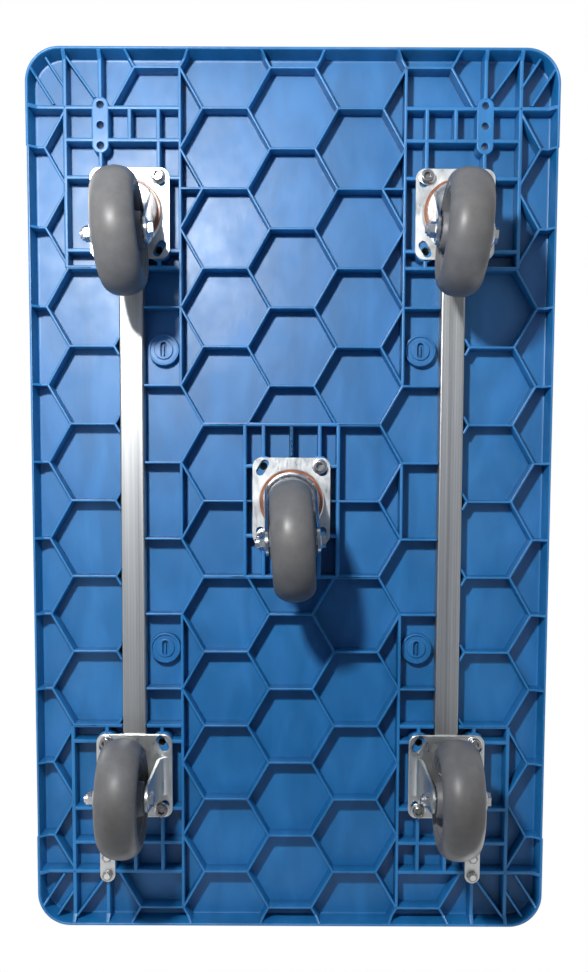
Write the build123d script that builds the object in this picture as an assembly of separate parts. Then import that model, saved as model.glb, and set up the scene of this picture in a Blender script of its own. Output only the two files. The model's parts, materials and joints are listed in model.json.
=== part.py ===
from build123d import *
import os
from math import atan2, ceil, cos, degrees, hypot, pi, sin, sqrt

# Flatbed platform truck: a ribbed one-piece plastic deck on five casters, with a fold-down push
# handle. Millimetres, +Z up, wheels on z = 0, origin under the middle of the deck, +X towards the
# two swivel casters, -X towards the rigid casters and the handle, +Y to the right seen from below
# with +X upwards.

# ------------------------------------------------------------------ driving sizes: deck
DECK_LENGTH = 1150.0
DECK_WIDTH = 682.0
DECK_CORNER_R = 44.0
RIB_DEPTH = 26.0           # from the rib plane up to the skin
SKIN = 4.0
RIM_DROP = 9.0             # how far the rim hangs below the rib plane
RIM_WALL = 4.0
TOP_EDGE_R = 3.0
SIDE_RELIEF = 1.0          # the long sides step in by this between the corner zones
RELIEF_END_INSET = 123.0   # from the deck's ends to the step

HEX_SIDE = 58.0            # side of one honeycomb cell
HEX_WEB = 3.0
BOX_WEB = 4.8              # stiffer webs round the casters
LONG_WEB = 3.7             # the two lengthwise webs

BOX_BACK = 67.4            # webs round a corner caster: its axis to the box's inner end
BOX_FRONT = 133.3          # and outer end
BOX_INNER = 64.5           # and inner side
BOX_OUTER = 82.8           # and outer side
BOX_CROSS_WEB = 40.3       # outer end to the cross web before it
LONG_WEB_END = 22.3        # end of the long web, from the deck's end
MID_BOX_SIDE = 61.5        # half width of the box round the middle caster
PLATE_EDGE_LAP = 10.0      # how far its webs reach under the plate
CORNER_WEBS = (            # inset from the deck's end and side, both ends of each
    ((11.2, 24.9), (48.4, 49.3)),
    ((26.9, 7.5), (69.2, 34.8)),
)
STRUT_END = 6.6            # long strut's end, from the deck's end
STRUT_STEP = (34.0, 6.5)   # handle boss to the strut's other end

# ------------------------------------------------------------------ driving sizes: casters
CASTER_END_INSET = 206.0
CASTER_SIDE_INSET = 131.5
CASTER_HEAD = 40.0         # wheel's top to the rib plane, where the casters bolt on
PLATE_LENGTH = 114.0
PLATE_WIDTH = 102.0
PLATE_T = 4.0
PLATE_CORNER_R = 12.0
HOLES_ALONG = 92.0         # caster bolt pattern
HOLES_ACROSS = 74.0
SLOT_TRAVEL = 11.7         # centre to centre of a slot's two ends
SLOT_ANGLE = 31.0
WHEEL_R = 75.0
TYRE_WIDTH = 52.0
TYRE_CROWN = 19.0          # tread's rise from its shoulders
TYRE_DEPTH = 25.0          # tread down to the hub
HUB_WIDTH = 56.0
HUB_RIM_SET_IN = 4.0       # from the tyre's side to the hub's rim
HUB_RIM_T = 5.0
HUB_WEB = 7.0
HUB_BOSS_WALL = 5.0        # round each bearing
HUB_SPOKES = 6
BEARING_R = 16.0
BEARING_BORE_R = 6.0
BEARING_WIDTH = 10.0
HUB_SIDE_GAP = 2.0         # hub to fork leg
FORK_T = 4.0
FORK_FOOT_R = 17.0
RIGID_LEG_TOP = 52.0       # rigid bracket's leg along the plate
LEG_FLARE = 13.0           # round between its leg and plate
TRAIL = 47.0               # swivel axis to axle
CROWN_T = 5.0
CROWN_LIP = 2.0            # crown past the race
RACE_INNER_R = 22.0
RACE_OUTER_R = 36.0
RACE_DROP = 7.4            # the upper race's depth under its plate
BALL_D = 6.0
BALL_COUNT = 24
KINGPIN_R = 6.0
SEAL_GAP = 1.5             # race to seal
SEAL_WALL = 4.0
SLEEVE_WALL = 0.95
SWIVEL_YAW = {"left": -4.5, "right": 5.0, "centre": -3.0}

# ------------------------------------------------------------------ driving sizes: rails, bosses
RAIL_OVERHANG = 41.0       # rail past the middle of its casters
RAIL_WIDTH = 31.5
RAIL_WALL = 2.0
CAP_BOSS_X = 198.0         # slotted round bosses beside the rails
CAP_BOSS_SIDE_STEP = 40.5  # rail's middle to the boss
CAP_BOSS_R = 20.5
CAP_BOSS_H = 12.0
HANDLE_END_INSET = 94.5    # three-hole handle bosses
HANDLE_SIDE_INSET = 94.0
HANDLE_HOLE_PITCH = 25.4
HANDLE_HOLE_R = 4.5
HANDLE_BOSS_LENGTH = 71.0
HANDLE_BOSS_WIDTH = 22.0
STRAP_WIDTH = 20.0
STRAP_T = 3.0

# ------------------------------------------------------------------ driving sizes: handle
TUBE_R = 12.7
TUBE_WALL = 1.6
HANDLE_REACH = 700.0       # hinge to cross bar
HANDLE_BEND_R = 80.0
TUBE_TAIL = 10.0           # tube past the hinge
TUBE_LIFT = 17.3           # tube's underside above the deck, clear of the bolt heads
BRACKET_T = 4.0
EAR_T = 3.0
EAR_SIDE_GAP = 1.3         # tube to ear
EAR_FRONT = 14.0           # hinge to the ear's upper front corner
EAR_TOE = 14.0             # ear's height at its front
STOP_GAP = 5.3             # flat tube's top to the stop strap
STOP_WIDTH = 17.0
STOP_TO_TOP = 7.0
LOCK_GAP = 9.3             # tube to lock sleeve
LOCK_PIN_R = 4.0
LOCK_TRAVEL = 8.0
LOCK_SLEEVE_R = 8.0
LOCK_SLEEVE_LENGTH = 10.0
LOCK_KNOB_R = 9.0
LOCK_KNOB_LENGTH = 10.0
GRIP_WALL = 3.3
GRIP_END_GAP = 17.0        # grip's end to the bend
BUMPER_LENGTH = 20.0
BUMPER_WALL = 4.0
BUMPER_INSET = 100.0       # cross bar to bumper

# ------------------------------------------------------------------ fasteners and fits
BOLT_R = 5.0               # caster bolts
BOLT_HEAD_H = 10.0
BOLT_LENGTH = 26.0         # thread above the plate's underside
WASHER_T = 2.0
INSERT_WALL = 3.0
INSERT_DEPTH = 22.0        # rib plane to the insert's far end
INSERT_RECESS = 1.5        # plastic lip in front of it
CASTER_BOSS_WALL = 5.6     # round each threaded insert
SMALL_BOLT_R = 4.0         # handle bolts
SMALL_HEAD_R = 8.0
SMALL_HEAD_H = 4.5
SMALL_NUT_AF = 13.0
SMALL_NUT_H = 6.8
AXLE_NUT_AF = 17.0
AXLE_HEAD_H = 6.0
AXLE_NUT_H = 10.0
AXLE_TAIL = 2.5            # thread past the nut
RUN_FIT = 0.05             # radial running clearance
RUN_GAP = 0.3              # clearance between parts that pass each other
SLOT_FIT = 0.5             # bolt to the side of its slot
RAIL_SIDE_GAP = 0.4
RAIL_TOP_GAP = 0.2

# ------------------------------------------------------------------ worked-out sizes
TYRE_SHOULDER_R = WHEEL_R - TYRE_CROWN
TYRE_BORE_R = WHEEL_R - TYRE_DEPTH
HUB_RIM_WIDTH = TYRE_WIDTH - 2 * HUB_RIM_SET_IN
HUB_BOSS_R = BEARING_R + HUB_BOSS_WALL
FORK_GAP = HUB_WIDTH + 2 * HUB_SIDE_GAP
CROWN_R = RACE_OUTER_R + CROWN_LIP
SEAL_INNER_R = RACE_OUTER_R + SEAL_GAP
SEAL_OUTER_R = SEAL_INNER_R + SEAL_WALL
AXLE_R = BEARING_BORE_R - RUN_FIT - SLEEVE_WALL - RUN_FIT
BOLT_HEAD_R = 1.6 * BOLT_R
BOLT_KEY_AF = 1.6 * BOLT_R
WASHER_R = 2 * BOLT_R
SLOT_WIDTH = 2 * (BOLT_R + SLOT_FIT)
INSERT_R = BOLT_R + INSERT_WALL
CASTER_BOSS_R = INSERT_R + CASTER_BOSS_WALL
EAR_GAP = 2 * (TUBE_R + EAR_SIDE_GAP)
HINGE_HEIGHT = TUBE_LIFT + TUBE_R
STOP_HEIGHT = HINGE_HEIGHT + TUBE_R + STOP_GAP
EAR_HEIGHT = STOP_HEIGHT + STOP_WIDTH + STOP_TO_TOP
LOCK_OFFSET = TUBE_R + LOCK_GAP + LOCK_SLEEVE_R
GRIP_R = TUBE_R + GRIP_WALL

# ------------------------------------------------------------------ worked-out places
END = DECK_LENGTH / 2
SIDE = DECK_WIDTH / 2
MOUNT_Z = 2 * WHEEL_R + CASTER_HEAD
SKIN_Z = MOUNT_Z + RIB_DEPTH
TOP_Z = SKIN_Z + SKIN
RIM_Z = MOUNT_Z - RIM_DROP
ROW = sqrt(3) * HEX_SIDE
CASTER_X = END - CASTER_END_INSET
CASTER_Y = SIDE - CASTER_SIDE_INSET
RAIL_LENGTH = 2 * (CASTER_X + RAIL_OVERHANG)
CAP_BOSS_Y = CASTER_Y - CAP_BOSS_SIDE_STEP
PLATE_Z = MOUNT_Z - PLATE_T
HANDLE_X = END - HANDLE_END_INSET
HANDLE_Y = SIDE - HANDLE_SIDE_INSET
GRIP_LENGTH = 2 * (HANDLE_Y - HANDLE_BEND_R - GRIP_END_GAP)
AXLE_Z = WHEEL_R
RACE_Z = PLATE_Z - RACE_DROP
CROWN_Z = RACE_Z - BALL_D - 2 * RUN_GAP
LEG_Y = FORK_GAP / 2 + FORK_T
BRACKET_BACK_X = -HANDLE_X - HANDLE_BOSS_LENGTH / 2
HINGE_X = BRACKET_BACK_X + EAR_T + TUBE_R + RUN_GAP
HINGE_Z = TOP_Z + HINGE_HEIGHT
BUMPER_X = HINGE_X + HANDLE_REACH - BUMPER_INSET
EAR_Y = EAR_GAP / 2 + EAR_T
SIDES = {"left": -1, "right": 1}
SWIVEL_PLACES = {
    "left": (CASTER_X, -CASTER_Y),
    "right": (CASTER_X, CASTER_Y),
    "centre": (0.0, 0.0),
}
RIGID_PLACES = {"left": (-CASTER_X, -CASTER_Y), "right": (-CASTER_X, CASTER_Y)}

os.makedirs("parts", exist_ok=True)


def save(shape, node):
    export_step(shape, f"parts/{node}.step")


def disc(radius, z_low, z_high):
    """Upright cylinder between two heights."""
    return Pos(0, 0, (z_low + z_high) / 2) * Cylinder(radius, z_high - z_low)


def pin_y(radius, y_low, y_high):
    """Cylinder along Y between two places."""
    return Pos(0, (y_low + y_high) / 2, 0) * Rot(90, 0, 0) * Cylinder(radius, y_high - y_low)


def block(x0, x1, y0, y1, z0, z1):
    """Box between two corners."""
    return Pos((x0 + x1) / 2, (y0 + y1) / 2, (z0 + z1) / 2) * Box(x1 - x0, y1 - y0, z1 - z0)


def hex_prism(across_flats, z_low, z_high):
    """Upright hexagonal prism."""
    outline = RegularPolygon(across_flats / 2, 6, major_radius=False)
    return Pos(0, 0, z_low) * extrude(outline, z_high - z_low)


def as_y(shape):
    """Turn a shape built along +Z so that it lies along +Y."""
    return Rot(-90, 0, 0) * shape


def corner_copies(shape):
    """The shape and its mirror copies in the deck's other three corners."""
    ahead = [shape, mirror(shape, Plane.XZ)]
    return ahead + [mirror(s, Plane.YZ) for s in ahead]


# ------------------------------------------------------------------ deck
def web(start, end, thickness):
    """Plan of one straight web between two points."""
    dx, dy = end[0] - start[0], end[1] - start[1]
    middle = Pos((start[0] + end[0]) / 2, (start[1] + end[1]) / 2)
    return middle * Rot(0, 0, degrees(atan2(dy, dx))) * Rectangle(hypot(dx, dy) + HEX_WEB / 2, thickness)


def honeycomb_edges():
    """Both ends of each honeycomb web that starts inside the deck."""
    columns = ceil(SIDE / (1.5 * HEX_SIDE)) + 1
    rows = ceil(END / ROW) + 1
    for c in range(-columns, columns + 1):
        for k in range(-rows, rows + 1):
            x = (k + (0.5 if c % 2 == 0 else 0.0)) * ROW
            near, far = (1.5 * c - 0.5) * HEX_SIDE, (1.5 * c + 0.5) * HEX_SIDE
            yield (x, near), (x, far)
            yield (x, far), (x + ROW / 2, far + HEX_SIDE / 2)
            yield (x, far), (x - ROW / 2, far + HEX_SIDE / 2)


def inside_deck(point):
    return abs(point[0]) < END and abs(point[1]) < SIDE


def caster_box():
    """Straight webs round one corner caster and its handle boss, as (start, end, thickness)."""
    hole_x, hole_y = HOLES_ALONG / 2, HOLES_ACROSS / 2
    x_in, x_out = CASTER_X - BOX_BACK, CASTER_X + BOX_FRONT
    y_in, y_out = CASTER_Y - BOX_INNER, CASTER_Y + BOX_OUTER
    cross_x = x_out - BOX_CROSS_WEB
    strut = (HANDLE_X + STRUT_STEP[0], HANDLE_Y + STRUT_STEP[1])
    rows = (cross_x, CASTER_X + hole_x, CASTER_X - hole_x, x_in)
    webs = [((x, y_in), (x, y_out), BOX_WEB) for x in rows]
    webs += [
        ((x_out, y_in), (x_out, SIDE), BOX_WEB),
        ((x_in, y_out), (END, y_out), BOX_WEB),
        ((1.5 * ROW, y_in), (END - LONG_WEB_END, y_in), LONG_WEB),
        ((CASTER_X + hole_x, HANDLE_Y), (END, HANDLE_Y), BOX_WEB),
        ((x_in, CASTER_Y + hole_y), (CASTER_X - hole_x, CASTER_Y + hole_y), BOX_WEB),
        ((cross_x, CASTER_Y), (x_out, CASTER_Y), BOX_WEB),
        ((CASTER_X + hole_x, CASTER_Y - hole_y), (x_out, CASTER_Y - hole_y), BOX_WEB),
        ((x_in, CASTER_Y - hole_y), (CASTER_X - hole_x, CASTER_Y - hole_y), BOX_WEB),
        ((END - STRUT_END, y_out), strut, HEX_WEB),
    ]
    for start, end in CORNER_WEBS:
        webs.append(((END - start[0], SIDE - start[1]), (END - end[0], SIDE - end[1]), HEX_WEB))
    blanks = [
        Pos((x_in + x_out) / 2, (y_in + y_out) / 2) * Rectangle(x_out - x_in, y_out - y_in),
        Pos((x_out + END) / 2, (4 * HEX_SIDE + SIDE) / 2 + 1) * Rectangle(END - x_out, SIDE - 4 * HEX_SIDE),
    ]
    return webs, blanks


def centre_box():
    """Webs round the middle caster, one quarter of them."""
    hole_x, hole_y = HOLES_ALONG / 2, HOLES_ACROSS / 2
    y_out = MID_BOX_SIDE
    webs = [
        ((ROW, 0), (ROW, 2 * HEX_SIDE), BOX_WEB),
        ((0, y_out), (ROW, y_out), BOX_WEB),
        ((hole_x, hole_y), (ROW, hole_y), BOX_WEB),
        ((PLATE_LENGTH / 2 - PLATE_EDGE_LAP, 0), (ROW, 0), BOX_WEB),
        ((0, PLATE_WIDTH / 2 - PLATE_EDGE_LAP), (0, y_out), HEX_WEB),
        ((hole_x, hole_y), (hole_x, y_out), BOX_WEB),
    ]
    return webs, [Rectangle(2 * ROW, 2 * y_out)]


def web_plan():
    """Plan of every web under the skin, trimmed to the inside of the rim."""
    box_webs, box_blanks = caster_box()
    mid_webs, mid_blanks = centre_box()
    cells = [web(a, b, HEX_WEB) for a, b in honeycomb_edges() if inside_deck(a) or inside_deck(b)]
    plan = Sketch() + cells
    for blank in box_blanks:
        plan -= corner_copies(blank)
    plan -= mid_blanks
    extra = []
    for start, end, thickness in box_webs + mid_webs:
        extra += corner_copies(web(start, end, thickness))
    for side in (-1, 1):
        y = side * 2.5 * HEX_SIDE
        extra.append(web((-ROW / 2, y), (ROW / 2, y), LONG_WEB))
        extra.append(web((4 * ROW, side * 2 * HEX_SIDE), (4 * ROW, y), HEX_WEB))
    plan += extra
    return plan & outline(RIM_WALL - 0.5)


def outline(inset):
    """The deck's outline, moved in by inset."""
    return RectangleRounded(DECK_LENGTH - 2 * inset, DECK_WIDTH - 2 * inset, DECK_CORNER_R - inset)


def handle_boss_plan(width):
    return Pos(HANDLE_X, HANDLE_Y) * SlotOverall(HANDLE_BOSS_LENGTH, width)


def caster_hole_places():
    """Middle of each of the twenty caster bosses."""
    places = list(SWIVEL_PLACES.values()) + list(RIGID_PLACES.values())
    return [
        (x + sx * HOLES_ALONG / 2, y + sy * HOLES_ACROSS / 2)
        for x, y in places for sx in (-1, 1) for sy in (-1, 1)
    ]


def make_deck():
    shell = Pos(0, 0, RIM_Z) * extrude(outline(0), TOP_Z - RIM_Z)
    shell = fillet(shell.faces().sort_by(Axis.Z)[-1].edges(), TOP_EDGE_R)
    relief_length = DECK_LENGTH - 2 * RELIEF_END_INSET
    for side in (-1, 1):
        shell -= Pos(0, side * (SIDE + SIDE_RELIEF * 4), RIM_Z) * Box(
            relief_length, SIDE_RELIEF * 10, 2 * (TOP_Z - RIM_Z) + RIM_DROP)
    shell -= Pos(0, 0, RIM_Z) * extrude(outline(RIM_WALL), SKIN_Z - RIM_Z)
    # the webs drop in a short slope from the rim's lower edge to the rib plane
    slope = loft([
        Pos(0, 0, RIM_Z) * outline(RIM_WALL),
        Pos(0, 0, MOUNT_Z) * outline(RIM_WALL + RIM_DROP),
    ])
    webs = Pos(0, 0, RIM_Z) * extrude(web_plan(), SKIN_Z - RIM_Z) - slope
    deck = shell + webs
    bosses = [Pos(x, y) * disc(CASTER_BOSS_R, MOUNT_Z, SKIN_Z) for x, y in caster_hole_places()]
    bosses += corner_copies(Pos(0, 0, MOUNT_Z) * extrude(handle_boss_plan(HANDLE_BOSS_WIDTH), RIB_DEPTH))
    bosses += corner_copies(cap_boss())
    deck += bosses
    pocket = disc(INSERT_R, MOUNT_Z + INSERT_RECESS, MOUNT_Z + INSERT_DEPTH + 2)
    pocket += disc(BOLT_R + SLOT_FIT, MOUNT_Z, MOUNT_Z + INSERT_RECESS)
    cuts = [Pos(x, y) * pocket for x, y in caster_hole_places()]
    for pitch in (-1, 0, 1):
        hole = Pos(HANDLE_X + pitch * HANDLE_HOLE_PITCH, HANDLE_Y) * disc(HANDLE_HOLE_R, RIM_Z, TOP_Z)
        cuts += corner_copies(hole)
    half_rail = RAIL_WIDTH / 2 + RAIL_SIDE_GAP
    for side in SIDES.values():
        y = side * CASTER_Y
        end = RAIL_LENGTH / 2 + RAIL_SIDE_GAP
        cuts.append(block(-end, end, y - half_rail, y + half_rail, RIM_Z, SKIN_Z))
    return deck - cuts


def cap_boss():
    """Round boss with a raised inner ring and a slot, low under the skin."""
    low = SKIN_Z - CAP_BOSS_H
    boss = disc(CAP_BOSS_R, low, SKIN_Z) - disc(CAP_BOSS_R - 3.5, low, low + 2.0)
    boss += disc(12.5, low, SKIN_Z)
    slot = extrude(Pos(0, 0, low) * SlotOverall(20.0, 8.0), 6.0)
    fin = Pos(0, 0, low + 3.5) * Box(14.0, 1.2, 5.0)
    return Pos(CAP_BOSS_X, CAP_BOSS_Y) * (boss - slot + fin)


# ------------------------------------------------------------------ rails, straps, fasteners
def make_rail(side):
    height = RIB_DEPTH - RAIL_TOP_GAP
    y = side * CASTER_Y
    section = RectangleRounded(RAIL_WIDTH, height, 2.5)
    section -= RectangleRounded(RAIL_WIDTH - 2 * RAIL_WALL, height - 2 * RAIL_WALL, 1.0)
    rail = extrude(Plane.YZ * section, RAIL_LENGTH / 2, both=True)
    return Pos(0, y, MOUNT_Z + height / 2) * rail


def make_strap(side):
    z = MOUNT_Z - STRAP_T
    plan = Pos(-HANDLE_X, side * HANDLE_Y, z) * SlotOverall(HANDLE_BOSS_LENGTH, STRAP_WIDTH)
    strap = extrude(plan, STRAP_T)
    holes = [
        Pos(x, side * HANDLE_Y) * disc(HANDLE_HOLE_R, z, MOUNT_Z) for x in handle_bolt_xs()
    ]
    return strap - holes


def handle_bolt_xs():
    return [-HANDLE_X + n * HANDLE_HOLE_PITCH for n in (-1, 0, 1)]


def caster_bolt_places():
    """Two bolts to a caster, on one diagonal of its four slots."""
    diagonals = [(SWIVEL_PLACES["left"], 1), (SWIVEL_PLACES["right"], -1), (SWIVEL_PLACES["centre"], 1),
                 (RIGID_PLACES["left"], -1), (RIGID_PLACES["right"], 1)]
    return [
        (x + s * HOLES_ALONG / 2, y + s * hand * HOLES_ACROSS / 2)
        for (x, y), hand in diagonals for s in (-1, 1)
    ]


def socket_bolt():
    """Socket-head cap screw, head down, its bearing face on the washer."""
    seat = PLATE_Z - WASHER_T
    head = disc(BOLT_HEAD_R, seat - BOLT_HEAD_H, seat)
    head = chamfer(head.edges().sort_by(Axis.Z)[0], 0.8)
    bolt = head + disc(BOLT_R, seat, PLATE_Z + BOLT_LENGTH)
    return bolt - hex_prism(BOLT_KEY_AF, seat - BOLT_HEAD_H, seat - BOLT_HEAD_H + 5.5)


def make_caster_fasteners():
    bolt = socket_bolt()
    washer = disc(WASHER_R, PLATE_Z - WASHER_T, PLATE_Z) - disc(BOLT_R + RUN_GAP, PLATE_Z - WASHER_T, PLATE_Z)
    low, high = MOUNT_Z + INSERT_RECESS, MOUNT_Z + INSERT_DEPTH
    insert = disc(INSERT_R, low, high) - disc(BOLT_R, low, high)
    save(Compound(children=[Pos(x, y) * bolt for x, y in caster_bolt_places()]), "caster_bolts")
    save(Compound(children=[Pos(x, y) * washer for x, y in caster_bolt_places()]), "caster_washers")
    save(Compound(children=[Pos(x, y) * insert for x, y in caster_hole_places()]), "threaded_inserts")


def make_handle_fasteners():
    head_z = TOP_Z + BRACKET_T
    nut_z = MOUNT_Z - STRAP_T
    head = disc(SMALL_HEAD_R, head_z, head_z + SMALL_HEAD_H)
    head = fillet(head.edges().sort_by(Axis.Z)[-1], SMALL_HEAD_H - 1.5)
    bolt = head + disc(SMALL_BOLT_R, nut_z - SMALL_NUT_H - 2.0, head_z)
    nut = hex_prism(SMALL_NUT_AF, nut_z - SMALL_NUT_H, nut_z) - disc(SMALL_BOLT_R, nut_z - SMALL_NUT_H, nut_z)
    places = [(x, s * HANDLE_Y) for x in handle_bolt_xs() for s in SIDES.values()]
    save(Compound(children=[Pos(x, y) * bolt for x, y in places]), "bracket_bolts")
    save(Compound(children=[Pos(x, y) * nut for x, y in places]), "bracket_nuts")


# ------------------------------------------------------------------ wheels
def make_tyre():
    half = TYRE_WIDTH / 2
    bead = half - 3.0
    profile = Polyline((-half, TYRE_SHOULDER_R), (-bead, TYRE_BORE_R), (bead, TYRE_BORE_R),
                       (half, TYRE_SHOULDER_R))
    tread = ThreePointArc((half, TYRE_SHOULDER_R), (0, WHEEL_R), (-half, TYRE_SHOULDER_R))
    face = make_face([*profile.edges(), tread])
    return Rot(0, 0, 90) * revolve(face, Axis.X)


def make_hub():
    """Moulded hub: rim, web with spokes, and a bearing pocket at each end of its boss."""
    half, half_rim = HUB_WIDTH / 2, HUB_RIM_WIDTH / 2
    rim = disc(TYRE_BORE_R, -half_rim, half_rim) - disc(TYRE_BORE_R - HUB_RIM_T, -half_rim, half_rim)
    hub = rim + disc(TYRE_BORE_R - 1, -HUB_WEB / 2, HUB_WEB / 2) + disc(HUB_BOSS_R, -half, half)
    spoke_length = TYRE_BORE_R - HUB_BOSS_R
    spoke = Pos(HUB_BOSS_R + spoke_length / 2 - 1, 0) * Box(spoke_length, 5.0, HUB_RIM_WIDTH - 8.0)
    hub += [Rot(0, 0, 360 / HUB_SPOKES * n) * spoke for n in range(HUB_SPOKES)]
    pocket = disc(BEARING_R, half - BEARING_WIDTH, half)
    hub -= [disc(BEARING_BORE_R + 2.5, -half, half), pocket, mirror(pocket, Plane.XY)]
    return as_y(hub)


def make_bearings():
    """The two ball bearings, each drawn as one ring with its shield grooves."""
    half = HUB_WIDTH / 2
    ring = disc(BEARING_R, half - BEARING_WIDTH, half) - disc(BEARING_BORE_R, half - BEARING_WIDTH, half)
    ring -= disc(BEARING_R - 3.0, half - 0.6, half) - disc(BEARING_BORE_R + 2.5, half - 0.6, half)
    return [as_y(ring), mirror(as_y(ring), Plane.XZ)]


def make_sleeve():
    """Spacer tube between the fork's legs, on which the bearings run."""
    sleeve = disc(BEARING_BORE_R - RUN_FIT, -FORK_GAP / 2, FORK_GAP / 2)
    return as_y(sleeve - disc(AXLE_R + RUN_FIT, -FORK_GAP / 2, FORK_GAP / 2))


def make_axle():
    """Axle bolt with its head at +Y, and its lock nut at -Y."""
    bolt = disc(AXLE_R, -LEG_Y - AXLE_NUT_H - AXLE_TAIL, LEG_Y)
    bolt += hex_prism(AXLE_NUT_AF, LEG_Y, LEG_Y + AXLE_HEAD_H)
    nut = hex_prism(AXLE_NUT_AF, -LEG_Y - AXLE_NUT_H + 3, -LEG_Y) + disc(
        AXLE_NUT_AF / 2 - 0.6, -LEG_Y - AXLE_NUT_H, -LEG_Y - AXLE_NUT_H + 3)
    nut -= disc(AXLE_R, -LEG_Y - AXLE_NUT_H, -LEG_Y)
    return [as_y(bolt), as_y(nut)]


def wheel_parts():
    """Everything on one axle, centred on the wheel."""
    return {
        "tyre": [make_tyre()],
        "hub": [make_hub()],
        "bearings": make_bearings(),
        "sleeve": [make_sleeve()],
        "axle": make_axle(),
    }


# ------------------------------------------------------------------ caster plates and forks
def plate_blank():
    """Caster plate with its four slanted slots."""
    plate = RectangleRounded(PLATE_LENGTH, PLATE_WIDTH, PLATE_CORNER_R)
    slots = []
    for sx in (-1, 1):
        for sy in (-1, 1):
            place = Pos(sx * (HOLES_ALONG / 2 - 2.0), sy * (HOLES_ACROSS / 2 + 1.0))
            turn = Rot(0, 0, -sx * sy * SLOT_ANGLE)
            slots.append(place * turn * SlotCenterToCenter(SLOT_TRAVEL, SLOT_WIDTH))
    return Pos(0, 0, PLATE_Z) * extrude(plate - slots, PLATE_T)


def leg_outline(x_back, x_front, z_top, axle_x):
    """Side view of a fork leg: its top edge drawn down to a round foot at the axle."""
    foot = Pos(axle_x, AXLE_Z) * Circle(FORK_FOOT_R)
    top = Line((x_back, z_top), (x_front, z_top))
    outline_face = make_hull([*foot.edges(), *top.edges()])
    return Plane.XZ * outline_face


def channel(z_top, bend_r):
    """Upside-down U section, the fork's bent sheet, running along X."""
    low = AXLE_Z - FORK_FOOT_R - 5
    height = z_top - low
    outer = Pos(0, (z_top + low) / 2) * Rectangle(2 * LEG_Y, height)
    outer = fillet(outer.vertices().group_by(Axis.Y)[-1], bend_r)
    inner = Pos(0, (z_top + low) / 2 - CROWN_T) * Rectangle(FORK_GAP, height)
    inner = fillet(inner.vertices().group_by(Axis.Y)[-1], bend_r - FORK_T)
    return extrude(Plane.YZ * (outer - inner), 150, both=True)


def make_fork():
    """Swivel fork: a bent channel with a round crown, its legs trailing back to the axle."""
    legs = extrude(leg_outline(-34, 27, CROWN_Z, -TRAIL), LEG_Y + 5, both=True)
    fork = channel(CROWN_Z, 8.0) & legs
    fork += disc(CROWN_R, CROWN_Z - CROWN_T, CROWN_Z)
    fork -= disc(KINGPIN_R + RUN_FIT, CROWN_Z - CROWN_T, CROWN_Z)
    return fork - Pos(-TRAIL, 0, AXLE_Z) * pin_y(AXLE_R + RUN_FIT, -LEG_Y, LEG_Y)


def make_rigid_bracket():
    """Rigid caster: plate and legs pressed from one sheet, the legs flaring out into the plate."""
    half_top, top = RIGID_LEG_TOP / 2, PLATE_Z + 1
    legs = extrude(leg_outline(-half_top, half_top, top, 0), LEG_Y + 5, both=True)
    bracket = plate_blank() + (channel(top, 6.0) & legs)
    corner = Polyline((LEG_Y, PLATE_Z - LEG_FLARE), (LEG_Y - 1, top), (LEG_Y + LEG_FLARE, top),
                      (LEG_Y + LEG_FLARE, PLATE_Z))
    hollow = RadiusArc((LEG_Y + LEG_FLARE, PLATE_Z), (LEG_Y, PLATE_Z - LEG_FLARE), -LEG_FLARE)
    flare = extrude(Plane.YZ * make_face([*corner.edges(), hollow]), half_top - 1, both=True)
    bracket += [flare, mirror(flare, Plane.XZ)]
    return bracket - Pos(0, 0, AXLE_Z) * pin_y(AXLE_R + RUN_FIT, -LEG_Y, LEG_Y)


def make_top_plate():
    """Swivel plate with its upper ball race."""
    race = disc(RACE_OUTER_R, RACE_Z, PLATE_Z) - disc(RACE_INNER_R, RACE_Z, PLATE_Z)
    return plate_blank() + race - disc(KINGPIN_R, PLATE_Z, MOUNT_Z)


def make_kingpin():
    """Kingpin, held in the plate, with a broad peened head under the crown."""
    low = CROWN_Z - CROWN_T - RUN_GAP
    head = disc(13.0, low - 4.0, low)
    head = fillet(head.edges().sort_by(Axis.Z)[0], 2.5)
    return disc(KINGPIN_R, low, MOUNT_Z) + head


def make_seal():
    low = CROWN_Z + 0.5
    return disc(SEAL_OUTER_R, low, PLATE_Z) - disc(SEAL_INNER_R, low, PLATE_Z)


def make_balls():
    ring_r = (RACE_INNER_R + RACE_OUTER_R) / 2
    z = CROWN_Z + RUN_GAP + BALL_D / 2
    turn = 2 * pi / BALL_COUNT
    return [
        Pos(x + ring_r * cos(turn * n), y + ring_r * sin(turn * n), z) * Sphere(BALL_D / 2)
        for x, y in SWIVEL_PLACES.values() for n in range(BALL_COUNT)
    ]


def make_casters():
    for name, (x, y) in SWIVEL_PLACES.items():
        plate_place = Pos(x, y)
        turned = plate_place * Rot(0, 0, SWIVEL_YAW[name])
        save(plate_place * make_top_plate(), f"swivel_{name}_plate")
        save(plate_place * make_kingpin(), f"swivel_{name}_kingpin")
        save(plate_place * make_seal(), f"swivel_{name}_seal")
        save(turned * make_fork(), f"swivel_{name}_fork")
        for piece, solids in wheel_parts().items():
            placed = [turned * Pos(-TRAIL, 0, AXLE_Z) * s for s in solids]
            save(Compound(children=placed), f"swivel_{name}_{piece}")
    for name, (x, y) in RIGID_PLACES.items():
        save(Pos(x, y) * make_rigid_bracket(), f"rigid_{name}_bracket")
        for piece, solids in wheel_parts().items():
            placed = [Pos(x, y, AXLE_Z) * s for s in solids]
            save(Compound(children=placed), f"rigid_{name}_{piece}")
    save(Compound(children=make_balls()), "swivel_balls")


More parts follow.
